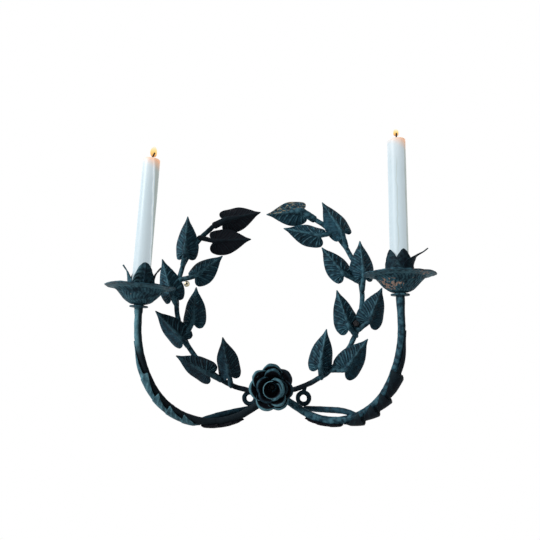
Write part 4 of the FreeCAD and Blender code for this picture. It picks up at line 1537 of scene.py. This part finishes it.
@dataclass
class Rose:
    """Rose of three layers of pressed petals, riveted to the centre boss."""

    centre: tuple[float, float, float] = (5.0, -30.0, 15.5)

    OUTER = ((3, 0.7), (10, 1.3), (17, 4.2), (21.5, 8.6), (24.0, 12.4), (26.0, 14.2), (27.8, 13.6),
             (28.4, 11.8))
    MIDDLE = ((2.6, 1.8), (8, 3.2), (13, 8), (15.6, 14), (17.4, 18.6), (19.4, 19.6), (20.6, 18.2))
    BUD = ((2.4, 3.0), (7, 4.5), (9.4, 10), (9.8, 17), (9.9, 21.5), (10.3, 22.6))

    def frame(self) -> Matrix:
        """Frame of the rose: Z towards the room and Y up."""
        return axes((1, 0, 0), (0, 0, 1), (0, -1, 0), self.centre)

    def _layer(self, name: str, petals: Sequence[Petal], base: Sequence[tuple[float, float]], node: str,
               paint: bpy.types.Material, sag: float = 0.0) -> bpy.types.Object:
        """Press one layer's petals, join them at its base and paint shade on what faces the axis.

        Args:
            name: Name of the layer.
            petals: Its petals.
            base: Radius and height along the dish that holds them.
            node: CAD node that it stands for.
            paint: Finish of the iron.
            sag: How far the layer's rim hangs down.

        Returns:
            The finished object.
        """
        layer = Piece.turned(name, smooth_line(base, 14), 48)
        # The dish under the petals is painted with full shade.
        layer.mark(Trait.RUB_AND_HIGHLIGHT, 0.0).mark(Trait.PAINTED_SHADE, 1.0).thicken(0.9)
        layer.join([petal.build(f"{name}_petal_{index}") for index, petal in enumerate(petals)])
        layer.paint_shade_inside()
        layer.form(lambda p: p + np.outer(ease(p[:, 2], 2, 14), (0, sag, 0)))
        return layer.place(self.frame()).finish(paint, "painted_iron", node)

    def build(self, paint: bpy.types.Material) -> None:
        """Build the three layers.

        Args:
            paint: Finish of the iron.
        """
        # Each row: angle, width, growth, rise, lip and shade amount; the petals away from the light get painted
        # shade and a dimmer lip.
        outer = self._ring(self.OUTER, (4, 10, 15), 0.22, 6.5, (
            (90, 13.5, 1.0, 0.0, 0.35, 0.0), (38, 15, 0.97, -1.2, 0.0, 0.85), (-12, 13, 0.92, 0.8, 0.05, 0.65),
            (-62, 15, 1.0, -0.6, 0.6, 0.0), (-113, 15, 1.02, 0.8, 0.8, 0.0), (184, 16.5, 0.98, -0.4, 0.7, 0.0),
            (143, 12.5, 0.97, 0.9, 0.6, 0.0)))
        self._layer("pressed_rose_outer", outer, ((2.4, 0.5), (6, 0.9), (12, 2.2)), "rose_outer_petals", paint)
        middle = self._ring(self.MIDDLE, (3, 8, 12), 0.25, 4, (
            (86, 10.5, 1.13, 0.6, 0.25, 0.0), (-2, 12, 0.92, 0.4, 0.0, 0.7), (-60, 10.5, 1.12, -0.8, 0.75, 0.0),
            (-130, 12, 0.93, 0.3, 0.0, 0.5), (165, 13, 0.92, -0.5, 0.05, 0.4)))
        dish = ((2.2, 1.6), (5, 2.2), (9, 4.4))
        self._layer("pressed_rose_middle", middle, dish, "rose_middle_petals", paint, -0.8)
        inner, left, right = (self._sized(self.BUD, *size) for size in ((1.0, 0.0), (1.22, 1.4), (0.98, 1.0)))
        left[-1:] = [(14.6, 23.6), (15.4, 22.4)]
        right[-1:] = [(12.2, 23.0), (13.0, 22.0)]
        bud = [
            Petal(inner, (3, 9, 19, 19.5, 19.5), 190, 0.04, 0.0, lip=1.0, seed=1.0),
            Petal(left, (3, 8, 12, 14, 13), 22, 0.16, 0.0, edge_curl=-1.5, lip=0.5, seed=2.0),
            Petal(right, (3, 8, 12, 13, 12), -28, 0.18, 0.0, lip=0.45, seed=3.0),
        ]
        self._layer("pressed_rose_bud", bud, ((2.2, 2.8), (4, 3.3), (6.5, 4.4)), "rose_inner_bud", paint, -2.4)

    def _ring(self, profile: Line, foot: Sequence[float], drop: float, scallop: float,
              petals: Line) -> list[Petal]:
        """Petals of one layer, each with an angle, a width, a growth, a rise, a lip and a painted shade amount
        of its own.

        Args:
            profile: Radius and height along the layer's petal, from the foot to the rim.
            foot: Half widths at the foot of each petal.
            drop: How much lower the sides of a petal are than its middle, as a share of its height.
            scallop: How far the corners of its rim come in.
            petals: One row a petal.

        Returns:
            The petals.
        """
        return [Petal(self._sized(profile, grow, rise), (*foot, wide, wide * 0.9), angle, drop, 0.0,
                      scallop=scallop, lip=lip, shade_amount=shade_amount, seed=angle)
                for angle, wide, grow, rise, lip, shade_amount in petals]

    @staticmethod
    def _sized(profile: Sequence[tuple[float, float]], grow: float, rise: float) -> list[tuple[float, float]]:
        """A layer's profile, made a little wider and taller for one petal."""
        last = profile[-1][0]
        return [(r * grow, h + rise * r / last) for r, h in profile]


@dataclass
class Eye:
    """Forged hanging ring under a wreath stem, with its weld."""

    side: Side
    RING, SECTION, SETBACK = 7.2, 2.9, 2.6

    @property
    def x(self) -> float:
        """Where its hole is, from side to side."""
        return EYE_X[self.side]

    def build(self, paint: bpy.types.Material) -> bpy.types.Object:
        """Bend the ring and weld its neck to the stem.

        Args:
            paint: Finish of the iron.

        Returns:
            The finished object.
        """
        Piece.clear()
        bpy.ops.mesh.primitive_torus_add(major_segments=72, minor_segments=20, major_radius=self.RING,
                                         minor_radius=self.SECTION, location=(self.x, -self.SETBACK, 0),
                                         rotation=(math.pi / 2, 0, 0))
        bpy.ops.object.transform_apply(location=True, rotation=True, scale=False)
        ring = Piece(bpy.context.object)
        ring.obj.name = f"forged_{self.side.value}_eye"

        def flatten(p: np.ndarray) -> np.ndarray:
            """Hammer the ring flat where it lies on the wall."""
            p[:, 1] = np.clip(-self.SETBACK + (p[:, 1] + self.SETBACK) * 0.86, -5.2, -0.1)
            return p

        ring.form(flatten).hammer(0.6, 4)
        across = self.x + 1.5
        stem_height = WREATH_HEIGHT - math.sqrt(WREATH_RADIUS**2 - across**2)
        neck = np.array([(self.x, -3.2, self.RING - 1), (across, -4.6, (self.RING + stem_height) / 2 + 1),
                         (across, -6.4, stem_height)])
        radii = pick((3.2, 2.5, 3.0), np.linspace(0, 1, 12))
        weld = Piece.rod(f"{self.side.value}_eye_neck", smooth_line(neck, 12), radii, 16).hammer(0.9, 3)
        # The eye and its neck are painted with shade all over.
        ring.join([weld]).mark(Trait.PAINTED_SHADE, 0.6)
        return ring.finish(paint, "painted_iron", f"{self.side.value}_hanging_eye")


@dataclass
class WallScrew:
    """Round-head wood screw with a cross recess."""

    side: Side
    reach: float
    turn: float
    HEAD, SHANK = 4.0, 1.75

    @property
    def node(self) -> str:
        """Name of its CAD node."""
        return f"{self.side.value}_wall_screw"

    def build(self, metal: bpy.types.Material, slot: str) -> bpy.types.Object:
        """Turn the head, punch its recess and cut the thread.

        Args:
            metal: Its finish.
            slot: Name of its material slot.

        Returns:
            The finished object.
        """
        low, high = (np.array(corner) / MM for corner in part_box(self.node))
        place = axes((1, 0, 0), (0, 0, 1), (0, -1, 0), ((low[0] + high[0]) / 2, 0, (low[2] + high[2]) / 2))
        dome = np.linspace(0, 1.52, 34)
        rise = [(self.HEAD * math.cos(a), self.reach + 0.5 + 2.0 * math.sin(a)) for a in dome]
        head = Piece.turned(f"turned_{self.node}", [(1.2, self.reach), (3.7, self.reach), *rise], 96).close()
        # The cross recess is painted with shade.
        head.form(self._punch).mark(Trait.PAINTED_SHADE, self.recess)
        side = [(self.SHANK, height) for height in np.linspace(0.05, self.reach + 0.3, 90)]
        shank = Piece.turned(f"{self.node}_shank", side, 32).close().form(self._thread)
        # The thread's groove is painted with shade.
        shank.mark(Trait.PAINTED_SHADE, self.groove)
        return head.join([shank]).place(place).finish(metal, slot, self.node, crease=30)

    def _punch(self, p: np.ndarray) -> np.ndarray:
        """Press the cross into the top of the head.

        Args:
            p: Points of the head.

        Returns:
            The points where they end up.
        """
        a = math.radians(self.turn)
        x, y = p[:, 0] * math.cos(a) + p[:, 1] * math.sin(a), -p[:, 0] * math.sin(a) + p[:, 1] * math.cos(a)
        slot = np.maximum((1 - ease(np.abs(x), 0.42, 0.62)) * (1 - ease(np.abs(y), 1.9, 2.3)),
                          (1 - ease(np.abs(y), 0.42, 0.62)) * (1 - ease(np.abs(x), 1.9, 2.3)))
        slot = slot * (p[:, 2] > self.reach + 0.8)
        out = p.copy()
        out[:, 2] -= 1.15 * slot
        self.recess = slot
        return out

    def _thread(self, p: np.ndarray) -> np.ndarray:
        """Cut a coarse thread round the shank.

        Args:
            p: Points of the shank.

        Returns:
            The points where they end up.
        """
        a = np.arctan2(p[:, 1], p[:, 0]) / (2 * math.pi)
        cut = np.abs((p[:, 2] / 1.5 - a) % 1.0 - 0.5) * 2
        self.groove = cut * 0.8
        out = p.copy()
        out[:, :2] *= (1 - 0.22 * cut)[:, None]
        return out


# ---------------------------------------------------------------- camera and lamps, in metres

LENS, SENSOR_WIDTH = 100 / 3, 36
CAMERA_PLACE = (0.0211, -0.665, 0.05066)
CAMERA_YAW, CAMERA_PITCH = math.radians(1.7), math.radians(10)
LAMPS = (
    ("key", (-1.6, -1.0, 1.0), 0.6, 35.0, (1.0, 1.0, 1.0)),
    ("fill", (0.2, -1.7, 0.3), 1.4, 1.5, (0.95, 0.98, 1.0)),
)
LAMPS_AIM = Vector((0, 0, 0.12))
SURROUND_LIGHT = 0.08
FLOOR_HEIGHT = -0.75


def put_lights_and_camera() -> None:
    """Place the camera, the lamps, the white surround and the floor."""
    scene = bpy.context.scene
    scene.view_settings.view_transform = "Standard"
    camera = bpy.data.cameras.new("camera")
    camera.sensor_width, camera.lens = SENSOR_WIDTH, LENS
    camera_object = bpy.data.objects.new("camera", camera)
    scene.collection.objects.link(camera_object)
    yaw, pitch = CAMERA_YAW, CAMERA_PITCH
    forward = Vector((-math.sin(yaw) * math.cos(pitch), math.cos(yaw) * math.cos(pitch), math.sin(pitch)))
    right = Vector((math.cos(yaw), math.sin(yaw), 0))
    camera_object.matrix_world = axes(right, right.cross(forward), -forward, CAMERA_PLACE)
    scene.camera = camera_object
    for name, place, size, power, tint in LAMPS:
        lamp = bpy.data.lights.new(name, "AREA")
        lamp.size, lamp.energy, lamp.color = size, power, tint
        lamp_object = bpy.data.objects.new(name, lamp)
        scene.collection.objects.link(lamp_object)
        lamp_object.location = place
        lamp_object.rotation_mode = "QUATERNION"
        lamp_object.rotation_quaternion = (LAMPS_AIM - Vector(place)).to_track_quat("-Z", "Y")
    _put_surround(scene)
    _put_floor()


def _put_surround(scene: bpy.types.Scene) -> None:
    """Wrap the scene in white that is full where it is seen and faint where it lights.

    Args:
        scene: The scene to wrap.
    """
    scene.world = bpy.data.worlds.new("surround")
    scene.world.use_nodes = True
    tree = scene.world.node_tree
    tree.nodes.clear()
    seen = _seen(tree, tree.nodes.new("ShaderNodeLightPath"))
    background = tree.nodes.new("ShaderNodeBackground")
    strength = tree.nodes.new("ShaderNodeMapRange")
    strength.inputs["To Min"].default_value, strength.inputs["To Max"].default_value = SURROUND_LIGHT, 1.0
    tree.links.new(seen, strength.inputs["Value"])
    tree.links.new(strength.outputs[0], background.inputs["Strength"])
    background.inputs["Color"].default_value = (1, 1, 1, 1)
    output = tree.nodes.new("ShaderNodeOutputWorld")
    tree.links.new(background.outputs[0], output.inputs["Surface"])


def _put_floor() -> None:
    """Lay the pale floor, which glows only where it is seen."""
    Piece.clear()
    bpy.ops.mesh.primitive_plane_add(size=3, location=(0, 0, FLOOR_HEIGHT))
    floor = bpy.context.object
    floor.name = "floor"
    graph = Graph("pale_floor")
    path = graph.tree.nodes.new("ShaderNodeLightPath")
    plain = {"Base Color": (0.82, 0.82, 0.82), "Roughness": 0.9}
    lit = {**plain, "Emission Color": (1.0, 1.0, 1.0), "Emission Strength": 0.5}
    shares = {0: Value(graph, _seen(graph.tree, path))}
    for socket, inputs in ((1, plain), (2, lit)):
        shares[socket] = graph.add("ShaderNodeBsdfPrincipled", {}, inputs)
    graph.link(graph.output.inputs["Surface"], graph.add("ShaderNodeMixShader", {}, shares))
    floor.data.materials.append(graph.material)


def _seen(tree: bpy.types.NodeTree, path: bpy.types.Node) -> bpy.types.NodeSocket:
    """Socket that is 1 for a ray from the camera, a mirror or glass.

    Args:
        tree: The node tree to work in.
        path: Its light path node.

    Returns:
        The socket.
    """
    most = path.outputs["Is Camera Ray"]
    for ray in ("Is Glossy Ray", "Is Transmission Ray"):
        node = tree.nodes.new("ShaderNodeMath")
        node.operation = "MAXIMUM"
        tree.links.new(most, node.inputs[0])
        tree.links.new(path.outputs[ray], node.inputs[1])
        most = node.outputs[0]
    return most


def leaves() -> list[Leaf]:
    """The eighteen leaves, each bent by hand.

    Returns:
        The leaves, the left half first.
    """
    return [
        # The shade amounts paint shade on the leaves that the light misses; the spots are worn copper.
        Leaf("leaf_left_1", 126, 15, 22, 13, 49, 4, 0, 4.2, fold=20, vein_height=0.6, shade_amount=0.9, seed=0.3),
        Leaf("leaf_left_2", 139, 22, 343, 3, 49, 7, 0.8, 3, fold=18, vein_height=0.6, shade_amount=0.92, seed=1.1),
        Leaf("leaf_left_3", 159, 14, 74, 88, 52, 6, 1, 3, seed=2.2),
        Leaf("leaf_left_4", 169, 24.5, 9, 38, 45, 8, 0.2, 3, seed=3.7),
        Leaf("leaf_left_5", 184, 10, 110, 107, 52, 8, 1, 3, seed=4.1),
        Leaf("leaf_left_6", 206, 23.5, 60, 86, 47, 8, 0.2, 3, seed=5.9),
        Leaf("leaf_left_7", 211, 11, 126, 135, 51, 8, 1, 3, vein_height=1.2, shade_amount=0.3, plain_side=1, seed=6.3),
        Leaf("leaf_left_8", 240, 17.5, 153, 152, 48, 6, 1, 3, shade_amount=0.5, plain_side=1, seed=7.7),
        Leaf("leaf_left_9", 247, 14, 99, 101, 48, 6, 1, 3, vein_height=0.45, shade_amount=0.45, plain_side=1, seed=8.2),
        Leaf("leaf_right_1", 61, 18, 149, 185, 48, 4, 0, 4.6, fold=24, vein_height=0.6, spots=0.85,
             spotted_side=-1, seed=9.4),
        Leaf("leaf_right_2", 45, 20.5, 197, 167, 49, 8, 0.2, 3, spots=0.15, seed=0.8),
        Leaf("leaf_right_3", 33, 19, 107, 122, 49, 8, 1, 3, fold=32, plain_side=1, seed=1.9),
        Leaf("leaf_right_4", 9, 25, 156, 128, 46, 8, 0.2, 3, fold=32, seed=2.6),
        Leaf("leaf_right_5", 4, 17, 86, 94, 48, 8, 1, 3, fold=32, seed=3.3),
        Leaf("leaf_right_6", -24, 13, 132, 107, 51, 6, 1, 3, fold=32, seed=4.8),
        Leaf("leaf_right_7", -21, 18, 38, 67, 48, 6, 1, 3, shade_amount=0.2, fold=24, plain_side=-1, seed=5.2),
        Leaf("leaf_right_8", -57, 13, 98, 79, 49, 8, 1, 3, seed=6.9),
        Leaf("leaf_right_9", -50, 17.5, 0, 52, 50, 8, 0.6, 3, shade_amount=0.1, fold=20, plain_side=-1, seed=7.1),
    ]


def sheaths(arms: Sequence[Arm]) -> list[Sheath]:
    """The two acanthus leaves on each arm, growing both ways from a node under the belly.

    Args:
        arms: The arms that they wrap.

    Returns:
        Two leaves an arm, the upper one first.
    """
    made = []
    for arm, flare, lift, seed in zip(arms, (2.0, 6.0), (0.2, -0.2), (0.4, 2.6)):
        left = arm.side is Side.LEFT
        upper = [arm.flat_belly(a) for a in np.linspace(10.5, 60, 60)]
        upper += [arm.flat_shoulder(share) for share in np.linspace(0.02, 0.74 if left else 0.90, 22)]
        lower = [arm.flat_belly(a) for a in np.linspace(9.5, -24, 40)]
        name = f"{arm.side.value}_arm_leaf"
        # The right upper leaf and both lower leaves are painted with shade.
        crest, shade_amount, stagger = (0.4, 0.0, 0.3) if left else (0.9, 0.9, 0.0)
        made.append(Sheath(f"{name}_upper", arm, np.array(upper), lobes=5, flare=flare, tip_lift=lift,
                           bulge=1.9, wrap=108, crest=crest, shade_amount=shade_amount, seed=seed, stagger=stagger))
        made.append(Sheath(f"{name}_lower", arm, np.array(lower), lobes=3, flare=1.0, tip_lift=1.2, bulge=0.2,
                           wrap=70 if left else 52, crest=0.4, shade_amount=1.0, seed=seed + 1, sheet=2.4))
    return made


def calyxes() -> list[Calyx]:
    """The petals of both calyxes, as they were bent.

    Returns:
        The left one and the right one.
    """
    upright = (*CALYX_FOOT, (14.9, 34.0), (15.4, 44.0), (15.0, 50.5), (13.8, 54.0))
    curled = (*CALYX_FOOT, (15.2, 31.0), (16.2, 38.0), (18.2, 45.0), (22.6, 51.5))
    thrown = (*CALYX_FOOT, (15.2, 33.0), (17.4, 41.5), (19.8, 47.2), (23.0, 49.8), (27.4, 52.0), (32.8, 56.0))
    shield, blade = (6, 10.6, 14, 17, 18.5, 18.5, 17), (6, 10.6, 13.5, 13.0, 9.5, 3.0)
    spear = (6, 10.6, 14.0, 18.0, 20.0, 17.0, 6.0, 1.8, 1.3)
    # The petals turned from the light are painted with shade.
    left = [Petal(upright, shield, -60, 0.74, 0.35, veins=1.5, shade_amount=0.35, seed=0.4),
            Petal(curled, blade, 192, 0.06, 0.0, veins=0.7, seed=1.4),
            Petal(curled, blade, 17, 0.06, 0.5, veins=0.5, shade_amount=0.85, seed=2.4),
            Petal(upright, shield, 104, 0.6, 0.2, veins=0.5, seed=3.4)]
    right = [Petal(upright, shield, -152, 0.68, 0.3, veins=0.5, shade_amount=0.6, seed=4.4, roundness=1.5),
             Petal(upright, shield, -82, 0.68, 0.3, veins=0.7, shade_amount=0.75, seed=5.4, roundness=1.5),
             Petal(thrown, spear, -16, 0.02, 0.15, veins=0.4, shade_amount=0.7, seed=6.4),
             Petal(upright, shield, 98, 0.6, 0.2, veins=0.5, seed=7.4)]
    return [Calyx(left), Calyx(right)]


def candles(cups: Sequence[Cup]) -> list[Candle]:
    """The two lit candles.

    Args:
        cups: The cups that they stand in.

    Returns:
        One candle a cup.
    """
    tear = ((0.3, 4.6), (2.6, 5.2), (3.9, 7.4), (4.3, 10.4), (4.0, 13.6), (3.1, 16.2), (1.7, 18.2), (0.3, 19.4))
    low = ((0.3, 6.6), (2.3, 7.1), (3.1, 8.6), (3.2, 10.8), (3.0, 13.0), (2.2, 14.9), (0.3, 15.9))
    return [Candle(cups[0], tear, run_top=-60.0, run_foot=-12.0, wick_lean=3.4, flame_lean=-0.8),
            Candle(cups[1], low, run_top=-60.0, run_foot=-56.0, wick_lean=0.3, run_height=0.0, high_side=0.7,
                   scratch=0.7)]


def main() -> None:
    """Build the sconce around the frame."""
    logging.basicConfig(level=logging.INFO, format="%(name)s %(message)s")
    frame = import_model()
    paint = PaintedIron("painted_iron").build()
    worn = PaintedIron("worn_iron", copper=(0.37, 0.25, 0.195), copper_share=0.1).build()
    steel = PlainMetal("bare_steel", (0.32, 0.32, 0.33), (0.12, 0.12, 0.13)).build()
    brass = PlainMetal("brass_screw", (0.80, 0.74, 0.58), (0.45, 0.38, 0.24), 0.4).build()
    dark = PlainMetal("dark_screw", (0.045, 0.045, 0.05), (0.008, 0.008, 0.009), 0.35).build()
    for node in frame["nodes"].values():
        node.data.materials.clear()
        node.data.materials.append(paint)
    for leaf in leaves():
        leaf.build(paint)
    Stem(Side.LEFT, 126, 268, ((139, 2.6), (159, 3.0), (184, 3.0), (211, 3.0), (240, 2.8))).build(paint)
    Stem(Side.RIGHT, -86, 61, ((33, 3.0), (4, 3.0), (-22, 3.2), (-50, 3.0))).build(paint)
    arms = [
        Arm(Side.LEFT, 196, 4, 36.5, 86, 19.5, 11, 2.5),
        Arm(Side.RIGHT, -22, 10, 45, 77, 32.5, 24, 1.1),
    ]
    for arm in arms:
        arm.build(paint)
        arm.build_stay(paint)
    for sheath in sheaths(arms):
        sheath.build(paint)
    cups = [Cup(arms[0], 181, 0.2, -100), Cup(arms[1], 185, 1.0, -143)]
    wick = Charred("candle_wick").build()
    for cup, calyx, candle in zip(cups, calyxes(), candles(cups)):
        cup.build_pan(worn)
        cup.build_collar(worn)
        calyx.build(cup, paint)
        burning = Burning(f"{candle.side}_flame", candle.flame_foot * MM, candle.flame_height * MM)
        candle.build(wick, burning.build())
    Rose().build(paint)
    for side in Side:
        Eye(side).build(paint)
    WallScrew(Side.LEFT, 10.0, 20).build(brass, "brass_screw")
    WallScrew(Side.RIGHT, 16.3, 35).build(dark, "dark_screw")
    for name in ("left_candle_socket", "right_candle_socket", "left_socket_screw", "right_socket_screw"):
        frame["nodes"][name].data.materials[0] = steel
    # The rivet gets a very dark paint: painted shade for the dark heart of the rose.
    shade_black_paint = PaintedIron("shade_black_iron", deep=(0.001, 0.0015, 0.002), body=(0.002, 0.003, 0.004),
                        rubbed_and_lit=(0.006, 0.008, 0.010))
    frame["nodes"]["rose_rivet"].data.materials[0] = shade_black_paint.build()
    put_lights_and_camera()


if __name__ == "__main__":
    main()
